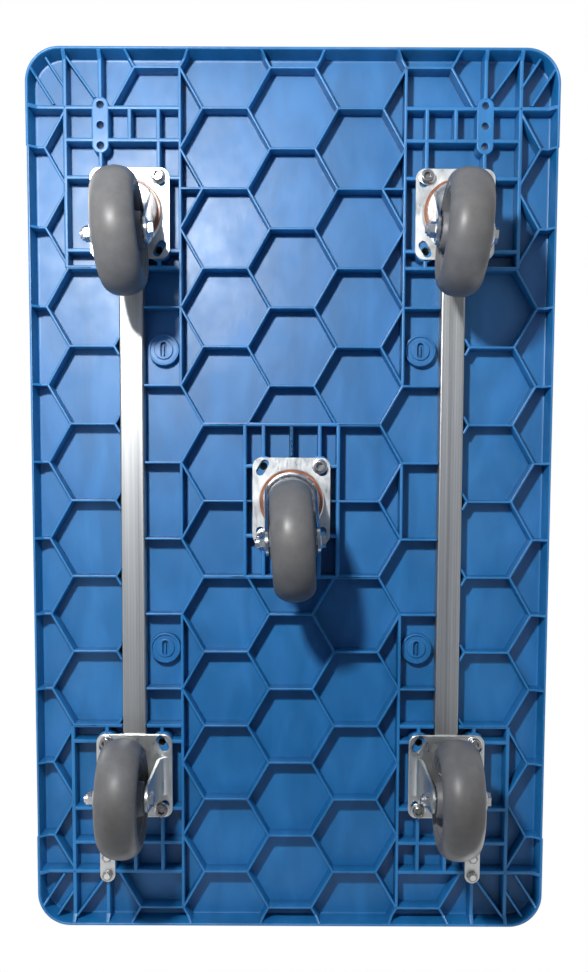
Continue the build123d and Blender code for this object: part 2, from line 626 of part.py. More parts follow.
# ------------------------------------------------------------------ handle
def make_bracket(side):
    """Folded bracket: a base on the deck, two ears, a stop strap behind and a lock sleeve."""
    x0, x1 = BRACKET_BACK_X, BRACKET_BACK_X + HANDLE_BOSS_LENGTH
    base = block(x0, x1, -EAR_Y, EAR_Y, TOP_Z, TOP_Z + BRACKET_T)
    top = TOP_Z + EAR_HEIGHT
    side_view = Polygon(
        (x0, TOP_Z), (x1, TOP_Z), (x1, TOP_Z + EAR_TOE), (HINGE_X + EAR_FRONT, top), (x0, top), align=None)
    side_view = fillet(side_view.vertices().group_by(Axis.Y)[-1], 6.0)
    ears = extrude(Plane.XZ * side_view, EAR_Y, both=True)
    ears -= block(x0, x1, -EAR_GAP / 2, EAR_GAP / 2, TOP_Z, top)
    stop = block(x0, x0 + EAR_T, -EAR_Y, EAR_Y, TOP_Z + STOP_HEIGHT, top - STOP_TO_TOP)
    sleeve = Pos(HINGE_X, 0, HINGE_Z + LOCK_OFFSET) * pin_y(
        LOCK_SLEEVE_R, EAR_Y - 0.5, EAR_Y + LOCK_SLEEVE_LENGTH)
    bracket = base + ears + stop + sleeve
    bracket -= Pos(HINGE_X, 0, HINGE_Z) * pin_y(SMALL_BOLT_R + RUN_FIT, -EAR_Y, EAR_Y)
    bracket -= Pos(HINGE_X, 0, HINGE_Z + LOCK_OFFSET) * pin_y(
        LOCK_PIN_R + RUN_FIT, 0, EAR_Y + LOCK_SLEEVE_LENGTH)
    bracket -= [Pos(x, 0) * disc(HANDLE_HOLE_R, TOP_Z, TOP_Z + BRACKET_T) for x in handle_bolt_xs()]
    if side < 0:
        bracket = mirror(bracket, Plane.XZ)
    return Pos(0, side * HANDLE_Y) * bracket


def make_hinge_bolts():
    bolt = disc(SMALL_BOLT_R, -EAR_Y - SMALL_NUT_H - 1.5, EAR_Y) + hex_prism(SMALL_NUT_AF, EAR_Y, EAR_Y + 5.3)
    nut = hex_prism(SMALL_NUT_AF, -EAR_Y - SMALL_NUT_H, -EAR_Y) - disc(
        SMALL_BOLT_R, -EAR_Y - SMALL_NUT_H, -EAR_Y)
    pair = [as_y(bolt), as_y(nut)]
    out = []
    for side in SIDES.values():
        place = Pos(HINGE_X, side * HANDLE_Y, HINGE_Z)
        out += [place * (s if side > 0 else mirror(s, Plane.XZ)) for s in pair]
    return out


def make_handle_tube():
    """Folded flat: two legs towards +X, joined by the cross bar."""
    start, reach = HINGE_X - TUBE_TAIL, HINGE_X + HANDLE_REACH
    path = FilletPolyline(
        (start, -HANDLE_Y, HINGE_Z), (reach, -HANDLE_Y, HINGE_Z),
        (reach, HANDLE_Y, HINGE_Z), (start, HANDLE_Y, HINGE_Z), radius=HANDLE_BEND_R)
    section = Plane(origin=path @ 0, z_dir=path % 0) * (Circle(TUBE_R) - Circle(TUBE_R - TUBE_WALL))
    tube = sweep(section, path)
    for side in SIDES.values():
        tube -= Pos(HINGE_X, side * HANDLE_Y, HINGE_Z) * pin_y(SMALL_BOLT_R + RUN_FIT, -TUBE_R, TUBE_R)
        lock_span = sorted((0.0, side * TUBE_R))
        tube -= Pos(HINGE_X + LOCK_OFFSET, side * HANDLE_Y, HINGE_Z) * pin_y(LOCK_PIN_R + RUN_GAP, *lock_span)
    return tube


def make_grip():
    grip = pin_y(GRIP_R, -GRIP_LENGTH / 2, GRIP_LENGTH / 2)
    grip = fillet(grip.edges().filter_by(GeomType.CIRCLE), 2.5)
    grip -= pin_y(TUBE_R, -GRIP_LENGTH / 2, GRIP_LENGTH / 2)
    return Pos(HINGE_X + HANDLE_REACH, 0, HINGE_Z) * grip


def make_bumpers():
    """Rubber feet on the legs, which meet the deck when the handle lies flat."""
    half = BUMPER_LENGTH / 2
    collar = Rot(0, 90, 0) * Cylinder(TUBE_R + BUMPER_WALL, BUMPER_LENGTH)
    foot = block(-half, half, -TUBE_R + 2, TUBE_R - 2, TOP_Z + RUN_GAP - HINGE_Z, -TUBE_R)
    bumper = collar + foot - Rot(0, 90, 0) * Cylinder(TUBE_R, BUMPER_LENGTH)
    return [Pos(BUMPER_X, side * HANDLE_Y, HINGE_Z) * bumper for side in SIDES.values()]


def make_lock_pin(side):
    """Pull pin, drawn back, its nose level with the ear's inner face."""
    nose = EAR_GAP / 2
    knob_low = EAR_Y + LOCK_SLEEVE_LENGTH + LOCK_TRAVEL + 1.0
    knob = pin_y(LOCK_KNOB_R, knob_low, knob_low + LOCK_KNOB_LENGTH)
    knob = fillet(knob.edges().filter_by(GeomType.CIRCLE), 1.5)
    pin = pin_y(LOCK_PIN_R, nose, knob_low + 1.0) + knob
    if side < 0:
        pin = mirror(pin, Plane.XZ)
    return Pos(HINGE_X, side * HANDLE_Y, HINGE_Z + LOCK_OFFSET) * pin


def make_handle():
    for name, side in SIDES.items():
        save(make_bracket(side), f"handle_bracket_{name}")
        save(make_lock_pin(side), f"lock_pin_{name}")
    save(make_handle_tube(), "handle_tube")
    save(make_grip(), "handle_grip")
    save(Compound(children=make_bumpers()), "handle_bumpers")
    save(Compound(children=make_hinge_bolts()), "hinge_bolts")
    make_handle_fasteners()


for rail_name, rail_side in SIDES.items():
    save(make_rail(rail_side), f"rail_{rail_name}")
    save(make_strap(rail_side), f"strap_{rail_name}")
make_caster_fasteners()
make_handle()
make_casters()
save(make_deck(), "deck")
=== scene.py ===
"""Flatbed platform truck: its finished surfaces, studio and camera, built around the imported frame."""
import json
import math

import bmesh
import bpy
from bpy.props import FloatProperty, FloatVectorProperty, PointerProperty
from mathutils import Matrix, Vector


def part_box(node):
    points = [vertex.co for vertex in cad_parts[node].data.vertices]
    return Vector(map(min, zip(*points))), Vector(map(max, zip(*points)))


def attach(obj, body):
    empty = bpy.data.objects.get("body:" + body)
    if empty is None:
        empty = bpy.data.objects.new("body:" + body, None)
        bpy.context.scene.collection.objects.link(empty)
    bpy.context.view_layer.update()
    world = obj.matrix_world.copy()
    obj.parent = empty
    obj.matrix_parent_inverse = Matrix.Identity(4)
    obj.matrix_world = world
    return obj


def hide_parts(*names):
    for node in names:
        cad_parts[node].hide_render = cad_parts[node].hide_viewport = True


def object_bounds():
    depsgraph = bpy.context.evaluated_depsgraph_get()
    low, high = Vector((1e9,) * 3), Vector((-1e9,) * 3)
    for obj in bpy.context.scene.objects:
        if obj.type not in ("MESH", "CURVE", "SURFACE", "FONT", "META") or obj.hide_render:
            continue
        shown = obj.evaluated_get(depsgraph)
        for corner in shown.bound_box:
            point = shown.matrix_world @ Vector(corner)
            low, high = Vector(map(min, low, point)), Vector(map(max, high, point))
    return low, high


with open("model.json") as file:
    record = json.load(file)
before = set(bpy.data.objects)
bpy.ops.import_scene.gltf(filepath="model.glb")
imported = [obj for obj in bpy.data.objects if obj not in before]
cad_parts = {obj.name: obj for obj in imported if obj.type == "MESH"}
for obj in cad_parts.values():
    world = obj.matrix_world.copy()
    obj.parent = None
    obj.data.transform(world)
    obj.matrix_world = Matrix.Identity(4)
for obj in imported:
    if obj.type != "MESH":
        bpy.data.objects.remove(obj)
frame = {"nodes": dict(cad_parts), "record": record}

bl_info = {
    "name": "Flatbed platform truck",
    "version": (1, 0, 0),
    "blender": (4, 5, 0),
    "location": "View3D > Sidebar > Platform truck",
    "description": "Finished surfaces, studio and camera for a platform truck's packed frame",
    "category": "Object",
}

CAD_LOW, CAD_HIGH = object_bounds()
MM = 0.001
SWIVELS = ("left", "right", "centre")
RIGIDS = ("left", "right")


# ---------------------------------------------------------------- materials
class Nodes:
    """Short way to build a shader tree."""

    def __init__(self, name):
        self.material = bpy.data.materials.new(name)
        self.material.use_nodes = True
        self.tree = self.material.node_tree
        self.shader = next(n for n in self.tree.nodes if n.type == "BSDF_PRINCIPLED")
        self.coord = self.tree.nodes.new("ShaderNodeTexCoord").outputs["Object"]

    def add(self, kind, **values):
        node = self.tree.nodes.new(kind)
        for key, value in values.items():
            setattr(node, key, value)
        return node

    def join(self, source, target):
        self.tree.links.new(source, target)

    def fill(self, socket, value):
        """Link a socket, or set its number or colour."""
        if isinstance(value, bpy.types.NodeSocket):
            self.join(value, socket)
        else:
            socket.default_value = (*value, 1.0) if isinstance(value, tuple) else value

    def stretched(self, scale):
        """Object coordinates scaled by a vector."""
        mapping = self.add("ShaderNodeMapping")
        mapping.inputs["Scale"].default_value = scale
        self.join(self.coord, mapping.inputs["Vector"])
        return mapping.outputs["Vector"]

    def noise(self, scale, detail=4.0, roughness=0.55, stretch=None, distortion=0.0):
        """Noise over the object's coordinates, from 0 to 1."""
        node = self.add("ShaderNodeTexNoise")
        for key, number in {"Scale": scale, "Detail": detail, "Roughness": roughness,
                            "Distortion": distortion}.items():
            node.inputs[key].default_value = number
        self.join(self.stretched(stretch) if stretch else self.coord, node.inputs["Vector"])
        return node.outputs["Fac"]

    def ramp(self, value, stops):
        """Colours (or greys) along a value from 0 to 1."""
        node = self.add("ShaderNodeValToRGB")
        while len(node.color_ramp.elements) < len(stops):
            node.color_ramp.elements.new(0.5)
        for element, (place, colour) in zip(node.color_ramp.elements, stops):
            element.position = place
            element.color = (*colour, 1.0) if isinstance(colour, tuple) else (colour, colour, colour, 1.0)
        self.join(value, node.inputs["Fac"])
        return node.outputs["Color"]

    def blend(self, factor, first, second):
        """One colour into another by a factor from 0 to 1."""
        node = self.add("ShaderNodeMix", data_type="RGBA")
        for socket, value in zip((node.inputs[0], node.inputs[6], node.inputs[7]), (factor, first, second)):
            self.fill(socket, value)
        return node.outputs[2]

    def maths(self, operation, first, second):
        node = self.add("ShaderNodeMath", operation=operation)
        for socket, value in zip(node.inputs, (first, second)):
            self.fill(socket, value)
        return node.outputs[0]

    def bump(self, height, strength, distance):
        """Relief from a height: its strength, and its depth in metres."""
        node = self.add("ShaderNodeBump")
        node.inputs["Strength"].default_value = strength
        node.inputs["Distance"].default_value = distance
        self.join(height, node.inputs["Height"])
        self.join(node.outputs["Normal"], self.shader.inputs["Normal"])

    def spread(self, value, start, end, low=0.0, high=1.0):
        """A value from low to high as another goes from start to end."""
        node = self.add("ShaderNodeMapRange")
        for key, number in {"From Min": start, "From Max": end, "To Min": low, "To Max": high}.items():
            node.inputs[key].default_value = number
        self.join(value, node.inputs["Value"])
        return node.outputs["Result"]

    def rim_band(self, end, side, width):
        """One along the outer edge of a rectangle as long as twice end and as wide as twice side."""
        xyz = self.add("ShaderNodeSeparateXYZ")
        self.join(self.coord, xyz.inputs[0])
        bands = []
        for axis, limit in (("X", end), ("Y", side)):
            out = self.maths("ABSOLUTE", xyz.outputs[axis], 0.0)
            bands.append(self.spread(out, limit - width, limit - width * 0.2))
        return self.maths("MAXIMUM", *bands)

    def set(self, **values):
        """Fill the shader's own sockets."""
        for key, value in values.items():
            self.fill(self.shader.inputs[key.replace("_", " ")], value)
        return self.material


def shade(colour, times, lift=0.0):
    """A colour made darker or paler."""
    return tuple(min(1.0, c * times + lift) for c in colour)


def deck_plastic(colour):
    """Semi-gloss moulded plastic: flow ripples, a fine grain, rubbed edges and dusty patches."""
    n = Nodes("deck_plastic")
    flow = n.noise(9.0, 3.0, 0.5, stretch=(1.0, 2.6, 1.0), distortion=0.6)
    blotch = n.noise(3.2, 5.0, 0.6)
    base = n.blend(n.ramp(flow, [(0.35, 0.0), (0.65, 1.0)]), shade(colour, 0.86), shade(colour, 1.10, 0.008))
    dusty = n.maths("MULTIPLY", n.ramp(blotch, [(0.50, 0.0), (0.72, 1.0)]), 0.04)
    base = n.blend(dusty, base, (0.22, 0.36, 0.52))
    scuffs = n.ramp(n.noise(48.0, 6.0, 0.7, stretch=(1.0, 1.0, 3.0)), [(0.55, 0.0), (0.66, 1.0)])
    scuffs = n.maths("MULTIPLY", scuffs, n.rim_band(CAD_HIGH[0], CAD_HIGH[1], 0.006))
    base = n.blend(n.maths("MULTIPLY", scuffs, 0.15), base, (0.20, 0.34, 0.50))
    rough = n.ramp(n.noise(26.0, 4.0, 0.6), [(0.3, 0.39), (0.7, 0.50)])
    grain = n.noise(900.0, 2.0, 0.5)
    ripple = n.noise(34.0, 3.0, 0.55, stretch=(1.0, 3.0, 1.0), distortion=0.4)
    lines = n.noise(1.0, 2.0, 0.5, stretch=(260.0, 5.0, 20.0))
    patches = n.ramp(n.noise(4.2, 2.0, 0.5), [(0.52, 0.0), (0.62, 1.0)])
    height = n.maths("ADD", n.maths("MULTIPLY", grain, 0.08), ripple)
    marks = n.maths("MULTIPLY", n.maths("MULTIPLY", lines, patches), 0.5)
    n.bump(n.maths("ADD", height, marks), 0.22, 0.0005)
    return n.set(Base_Color=base, Roughness=rough, Specular_IOR_Level=0.5, Coat_Weight=0.05,
                 Coat_Roughness=0.30)


def tyre_rubber(colour):
    """Satin grey rubber with a little dust and fine pores."""
    n = Nodes("tyre_grey")
    dust = n.noise(55.0, 5.0, 0.65)
    base = n.blend(n.ramp(dust, [(0.40, 0.0), (0.75, 1.0)]), colour, shade(colour, 1.25))
    rough = n.ramp(n.noise(30.0, 3.0, 0.5), [(0.3, 0.34), (0.7, 0.48)])
    n.bump(n.noise(700.0, 3.0, 0.6), 0.18, 0.0003)
    return n.set(Base_Color=base, Roughness=rough, Specular_IOR_Level=0.30)


def bright_zinc(name, colour, roughness, streak=(1.0, 1.0, 1.0)):
    """Bright zinc plate: pale metal with cloudy patches and fine rolling marks."""
    n = Nodes(name)
    cloud = n.noise(38.0, 5.0, 0.62)
    base = n.blend(n.ramp(cloud, [(0.30, 0.0), (0.70, 1.0)]), shade(colour, 0.90), colour)
    fine = n.noise(240.0, 3.0, 0.6, stretch=streak)
    rough = n.ramp(n.blend(0.5, cloud, fine), [(0.35, roughness * 0.75), (0.65, roughness * 1.35)])
    n.bump(fine, 0.12, 0.0003)
    return n.set(Base_Color=base, Roughness=rough, Metallic=1.0)


def rail_metal(colour):
    """Drawn rail: lengthwise die lines and a dull skin."""
    n = Nodes("rail_metal")
    lines = n.noise(60.0, 4.0, 0.6, stretch=(0.02, 9.0, 1.0))
    cloud = n.noise(14.0, 5.0, 0.6, stretch=(0.6, 1.5, 1.0))
    base = n.blend(n.ramp(lines, [(0.36, 0.0), (0.62, 1.0)]), shade(colour, 0.74), colour)
    base = n.blend(n.maths("MULTIPLY", cloud, 0.25), base, shade(colour, 0.85))
    rough = n.ramp(lines, [(0.3, 0.30), (0.7, 0.46)])
    n.bump(lines, 0.30, 0.0005)
    return n.set(Base_Color=base, Roughness=rough, Metallic=0.9)


def hub_plastic(colour):
    """Matt moulded plastic with a slight mottle."""
    n = Nodes("hub_grey")
    mottle = n.noise(80.0, 4.0, 0.6)
    base = n.blend(mottle, shade(colour, 0.85), colour)
    n.bump(n.noise(600.0, 2.0, 0.5), 0.15, 0.0003)
    return n.set(Base_Color=base, Roughness=n.ramp(mottle, [(0.3, 0.42), (0.7, 0.55)]))


def seal_plastic(colour):
    """Greasy seal ring, smeared darker in places."""
    n = Nodes("seal_orange")
    smear = n.noise(60.0, 4.0, 0.6)
    base = n.blend(n.ramp(smear, [(0.35, 0.0), (0.7, 1.0)]), shade(colour, 0.55), colour)
    n.bump(smear, 0.2, 0.0003)
    return n.set(Base_Color=base, Roughness=n.ramp(smear, [(0.3, 0.28), (0.7, 0.45)]))


def brass():
    """Cloudy turned brass."""
    n = Nodes("brass_insert")
    cloud = n.noise(90.0, 4.0, 0.6)
    n.bump(n.noise(500.0, 2.0, 0.5), 0.15, 0.0002)
    return n.set(Base_Color=n.blend(cloud, (0.42, 0.30, 0.10), (0.66, 0.48, 0.20)), Metallic=1.0,
                 Roughness=n.ramp(cloud, [(0.3, 0.28), (0.7, 0.42)]))


def powder_coat(colour):
    """Black powder coat with a fine orange peel."""
    n = Nodes("handle_steel")
    patch = n.noise(24.0, 4.0, 0.6)
    base = n.blend(patch, colour, shade(colour, 1.7, 0.004))
    n.bump(n.noise(420.0, 2.0, 0.5), 0.25, 0.0004)
    return n.set(Base_Color=base, Roughness=n.ramp(patch, [(0.3, 0.34), (0.7, 0.48)]), Specular_IOR_Level=0.5)


def black_rubber():
    """Dull rubber with open pores."""
    n = Nodes("rubber_black")
    pores = n.noise(380.0, 4.0, 0.65)
    n.bump(pores, 0.45, 0.0006)
    return n.set(Base_Color=n.blend(pores, (0.012, 0.012, 0.013), (0.035, 0.035, 0.036)),
                 Roughness=n.ramp(pores, [(0.3, 0.62), (0.7, 0.85)]))


def finishes():
    """Every finish by its slot in the record."""
    look = bpy.context.scene.truck_looks
    return {
        "deck_plastic": deck_plastic(tuple(look.deck_colour)),
        "rail_metal": rail_metal((0.40, 0.405, 0.40)),
        "zinc_plate": bright_zinc("zinc_plate", (0.66, 0.67, 0.65), 0.34, (0.5, 3.0, 1.0)),
        "fork_chrome": bright_zinc("fork_chrome", (0.72, 0.72, 0.71), 0.20),
        "tyre_grey": tyre_rubber(tuple(look.tyre_colour)),
        "hub_grey": hub_plastic((0.13, 0.13, 0.135)),
        "bearing_steel": bright_zinc("bearing_steel", (0.55, 0.56, 0.57), 0.25),
        "seal_orange": seal_plastic((0.30, 0.10, 0.045)),
        "bolt_dark": bright_zinc("bolt_dark", (0.34, 0.335, 0.32), 0.26),
        "bolt_zinc": bright_zinc("bolt_zinc", (0.76, 0.76, 0.74), 0.22),
        "brass_insert": brass(),
        "handle_steel": powder_coat((0.012, 0.012, 0.013)),
        "rubber_black": black_rubber(),
    }


# ---------------------------------------------------------------- sizes of the truck, in millimetres
DECK_CORNER_R = 44.0
RIM_WALL = 4.0
RIM_DROP = 9.0
SKIN = 4.0
TOP_EDGE_R = 3.0
SIDE_RELIEF = 1.0
RELIEF_END_INSET = 123.0
HEX_SIDE = 58.0
ROW = math.sqrt(3) * HEX_SIDE
HEX_WEB, LONG_WEB, BOX_WEB = 3.0, 3.7, 4.8
WEB_ROOT = 3.9             # a honeycomb web at the skin, where the others widen in proportion
HOLES_ALONG, HOLES_ACROSS = 92.0, 74.0
PLATE_LENGTH, PLATE_WIDTH, PLATE_T, PLATE_CORNER_R = 114.0, 102.0, 4.0, 12.0
SLOT_LENGTH, SLOT_WIDTH, SLOT_SLANT, SLOT_SHIFT = 22.7, 11.0, 31.0, (2.0, 1.0)
INSERT_R, CASTER_BOSS_R = 8.0, 13.6
BOSS_LIP_R = INSERT_R + 1.5   # in a caster boss's wall, where its lip and the webs end
HANDLE_HOLE_R, HANDLE_HOLE_PITCH = 4.5, 25.4
HANDLE_BOSS_LENGTH, HANDLE_BOSS_WIDTH = 71.0, 22.0
CAP_BOSS_R, CAP_BOSS_H, CAP_BOSS_X, CAP_BOSS_SIDE_STEP = 20.5, 12.0, 198.0, 40.5
BOX_BACK, BOX_FRONT, BOX_INNER, BOX_OUTER = 67.4, 133.3, 64.5, 82.8   # corner caster's axis to its webs
BOX_CROSS_WEB, LONG_WEB_END, MID_BOX_SIDE, PLATE_EDGE_LAP = 40.3, 22.3, 61.5, 10
STRUT_END, STRUT_STEP = 6.6, (34.0, 6.5)
CORNER_WEBS = (((11.2, 24.9), (48.4, 49.3)), ((26.9, 7.5), (69.2, 34.8)))   # insets of both ends of each
RAIL_ROOM = 0.4            # between a rail and the webs
WEB_LAP = 0.2              # how far webs and bosses reach into the skin
RIM_LAP = 0.8              # how far webs reach into the rim
HANDLE_BOSS_LAP = (3, 2)   # and into a handle boss, along and across
WEB_DEPTH = 26.2           # with that lap
WHEEL_R = 75.0
TRAIL, FORK_GAP, FORK_T, FORK_FOOT_R = 47.0, 60.0, 4.0, 17.0
LEG_OUT = FORK_GAP / 2 + FORK_T
CROWN_R = 38.0
RACE_DROP, BALL_ROOM = 7.4, 6.6
SWIVEL_YAW = {"left": -4.5, "right": 5.0, "centre": -3.0}   # degrees, as the casters stand at rest


def in_mm(node):
    """Lowest and highest corners of a CAD node, in millimetres."""
    low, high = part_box(node)
    return Vector(low) / MM, Vector(high) / MM


DECK_LOW, DECK_HIGH = in_mm("deck")
END, SIDE = DECK_HIGH[0], DECK_HIGH[1]
RIM_Z, TOP_Z = DECK_LOW[2], DECK_HIGH[2]
SKIN_Z = TOP_Z - SKIN
MOUNT_Z = RIM_Z + RIM_DROP
WEB_MIDDLE_Z = (MOUNT_Z + SKIN_Z + WEB_LAP) / 2
PLATE_Z = MOUNT_Z - PLATE_T
CROWN_Z = PLATE_Z - RACE_DROP - BALL_ROOM


def middle(node):
    """Middle of a CAD node's box, in millimetres."""
    low, high = in_mm(node)
    return (low + high) / 2


CASTERS = {f"swivel_{name}": middle(f"swivel_{name}_plate").xy for name in SWIVELS}
CASTERS.update({f"rigid_{name}": middle(f"rigid_{name}_bracket").xy for name in RIGIDS})
CASTER_X, CASTER_Y = CASTERS["swivel_right"]
HANDLE_Y = middle("strap_right").y
HANDLE_X = -middle("strap_right").x
RAIL_LOW, RAIL_HIGH = in_mm("rail_right")
CAP_BOSS_Y = CASTER_Y - CAP_BOSS_SIDE_STEP
CORNERS = [(sx, sy) for sx in (-1, 1) for sy in (-1, 1)]
BOLT_PLACES = [(x + sx * HOLES_ALONG / 2, y + sy * HOLES_ACROSS / 2)
               for x, y in CASTERS.values() for sx, sy in CORNERS]


def wheels():
    """Each wheel's caster, body and turn about the upright."""
    return [(f"swivel_{name}", f"swivel_wheel_{name}", SWIVEL_YAW[name]) for name in SWIVELS] \
        + [(f"rigid_{name}", f"rigid_wheel_{name}", 0.0) for name in RIGIDS]


# ---------------------------------------------------------------- outlines, anticlockwise from above
def round_rectangle(length, width, radius, steps=9, stops=()):
    """Rectangle with round corners; stops are extra places along its long sides."""
    points = []
    for sx, sy, start in ((1, 1, 0), (-1, 1, 90), (-1, -1, 180), (1, -1, 270)):
        for n in range(steps + 1):
            a = math.radians(start + 90 * n / steps)
            points.append((sx * (length / 2 - radius) + radius * math.cos(a),
                           sy * (width / 2 - radius) + radius * math.sin(a)))
        if start == 0:
            points += [(x, width / 2) for x in sorted(stops, reverse=True)]
        if start == 180:
            points += [(x, -width / 2) for x in sorted(stops)]
    return points


def round_slot(x, y, length, width, angle=0.0, steps=8):
    """Slot by its overall length and width, turned about its middle."""
    reach, r = (length - width) / 2, width / 2
    turn = math.radians(angle)
    points = []
    for side, start in ((1, -90), (-1, 90)):
        for n in range(steps + 1):
            a = math.radians(start + 180 * n / steps)
            px, py = side * reach + r * math.cos(a), r * math.sin(a)
            points.append((x + px * math.cos(turn) - py * math.sin(turn),
                           y + px * math.sin(turn) + py * math.cos(turn)))
    return points


def circle(x, y, radius, steps=24):
    turn = 2 * math.pi / steps
    return [(x + radius * math.cos(turn * n), y + radius * math.sin(turn * n)) for n in range(steps)]


def moved_in(points, distance):
    """Outline moved inwards by a distance."""
    out = []
    for i, b in enumerate(points):
        a, c = points[i - 1], points[(i + 1) % len(points)]
        first = Vector((b[0] - a[0], b[1] - a[1])).normalized()
        second = Vector((c[0] - b[0], c[1] - b[1])).normalized()
        normals = Vector((-first.y - second.y, first.x + second.x))
        step = distance / max(0.2, 1 + first.dot(second))
        out.append((b[0] + normals.x * step, b[1] + normals.y * step))
    return out


def edge_profile(low, high, low_r, high_r, steps=3):
    """(inset, height) steps up a wall with both edges rounded."""
    quarter = [math.pi / 2 * n / steps for n in range(steps + 1)]
    rise = [(low_r * (1 - math.sin(a)), low + low_r * (1 - math.cos(a))) for a in quarter]
    fall = [(high_r * (1 - math.sin(a)), high - high_r * (1 - math.cos(a))) for a in reversed(quarter)]
    return rise + fall


class Shape:
    """A mesh being made, with its sizes in millimetres."""

    def __init__(self):
        self.bm = bmesh.new()

    def ring(self, points):
        return [self.bm.verts.new(Vector(p) * MM) for p in points]

    def skin(self, rings, closed=True):
        """Faces between neighbouring rings."""
        for first, second in zip(rings, rings[1:]):
            count = len(first)
            for i in range(count if closed else count - 1):
                j = (i + 1) % count
                self.bm.faces.new((first[i], first[j], second[j], second[i]))

    def cap(self, rings):
        """Flat end between an outline and its holes."""
        if len(rings) == 1:
            self.bm.faces.new(rings[0])
            return
        edges = [self.bm.edges.get((r[i - 1], r[i])) for r in rings for i in range(len(r))]
        bmesh.ops.triangle_fill(self.bm, use_beauty=True, use_dissolve=False, edges=edges)

    def solid(self, outer, profile, holes=(), hole_profile=None, border=1.0):
        """Upright solid from (inset, height) steps, with holes through it and a flat border at both ends."""
        rows = [(outer, profile, 1)] + [(hole, hole_profile or profile, -1) for hole in holes]
        ends = ([], [])
        for outline, steps, way in rows:
            steps = [(steps[0][0] + border, steps[0][1]), *steps, (steps[-1][0] + border, steps[-1][1])]
            rings = [self.ring([(x, y, z) for x, y in moved_in(outline, way * d)]) for d, z in steps]
            self.skin(rings)
            ends[0].append(rings[0])
            ends[1].append(rings[-1])
        self.cap(ends[0])
        self.cap(ends[1])

    def lathe(self, profile, place=(0, 0), segments=32, along="Z"):
        """Closed (radius, height) profile turned about an upright axis, or about Y."""
        rings = []
        for radius, height in profile:
            points = [(x, y, height) for x, y in circle(0, 0, radius, segments)]
            if along == "Y":
                points = [(x, height, y) for x, y, _ in points]
            rings.append(self.ring([(x + place[0], y + place[1], z + (place[2] if len(place) > 2 else 0))
                                    for x, y, z in points]))
        self.skin(rings + rings[:1])

    def move(self, matrix):
        """Place everything made so far."""
        shift = matrix.copy()
        shift.translation *= MM
        self.bm.transform(shift)

    def piece(self, name, slot, body, replaced, crease=35.0):
        """Finish the shape as one piece on a body."""
        bmesh.ops.recalc_face_normals(self.bm, faces=self.bm.faces)
        mesh = bpy.data.meshes.new(name)
        self.bm.to_mesh(mesh)
        self.bm.free()
        piece = bpy.data.objects.new(name, mesh)
        bpy.context.collection.objects.link(piece)
        smooth(piece, crease)
        dress(piece, slot, body, replaced)


def set_in_place(piece):
    """Turn a piece with modifiers into its plain mesh."""
    evaluated = piece.evaluated_get(bpy.context.evaluated_depsgraph_get())
    mesh = bpy.data.meshes.new_from_object(evaluated)
    piece.modifiers.clear()
    piece.data = mesh


def smooth(piece, crease):
    piece.data.shade_smooth()
    piece.data.set_sharp_from_angle(angle=math.radians(crease))


def dress(piece, slot, body, replaced):
    """Finish, body and CAD nodes of a new piece."""
    piece.data.materials.clear()
    piece.data.materials.append(looks_now()[slot])
    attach(piece, body)
    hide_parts(*replaced)


def looks_now():
    """The finishes, made once."""
    if not LOOKS:
        LOOKS.update(finishes())
    return LOOKS


LOOKS = {}


# ---------------------------------------------------------------- geometry node trees
class Steps:
    """Short way to build a geometry node tree with named inputs."""

    def __init__(self, name, sizes):
        self.tree = bpy.data.node_groups.new(name, "GeometryNodeTree")
        face = self.tree.interface
        face.new_socket("Places", in_out="INPUT", socket_type="NodeSocketGeometry")
        for label, value in sizes.items():
            kind = "NodeSocketInt" if isinstance(value, int) else "NodeSocketFloat"
            face.new_socket(label, in_out="INPUT", socket_type=kind).default_value = value
        face.new_socket("Finish", in_out="INPUT", socket_type="NodeSocketMaterial")
        face.new_socket("Made", in_out="OUTPUT", socket_type="NodeSocketGeometry")
        self.given = self.tree.nodes.new("NodeGroupInput").outputs
        self.out = self.tree.nodes.new("NodeGroupOutput").inputs[0]

    def add(self, kind, links=None, **values):
        node = self.tree.nodes.new(kind)
        for key, value in values.items():
            setattr(node, key, value)
        for key, value in (links or {}).items():
            socket = node.inputs[key]
            if isinstance(value, bpy.types.NodeSocket):
                self.tree.links.new(value, socket)
            else:
                socket.default_value = value
        return node

    def read(self, attribute):
        """A number stored on the places."""
        node = self.add("GeometryNodeInputNamedAttribute", {"Name": attribute}, data_type="FLOAT")
        return node.outputs["Attribute"]

    def vector(self, x=0.0, y=0.0, z=0.0):
        return self.add("ShaderNodeCombineXYZ", {"X": x, "Y": y, "Z": z}).outputs[0]

    def swept(self, path, outline):
        """An outline swept along a path."""
        return self.add("GeometryNodeCurveToMesh", {"Curve": path, "Profile Curve": outline}).outputs[0]

    def laid(self, shape, *turn):
        """A shape turned about X, Y and Z."""
        return self.add("GeometryNodeTransform", {"Geometry": shape, "Rotation": turn}).outputs[0]

    def at_places(self, shape, **links):
        """The end of the tree: the shape at every place, made real and given its finish."""
        rows = self.add("GeometryNodeInstanceOnPoints", {
            "Points": self.given["Places"], "Instance": shape, **links})
        real = self.add("GeometryNodeRealizeInstances", {"Geometry": rows.outputs[0]})
        done = self.add("GeometryNodeSetMaterial", {
            "Geometry": real.outputs[0], "Material": self.given["Finish"]})
        self.tree.links.new(done.outputs[0], self.out)
        return self.tree


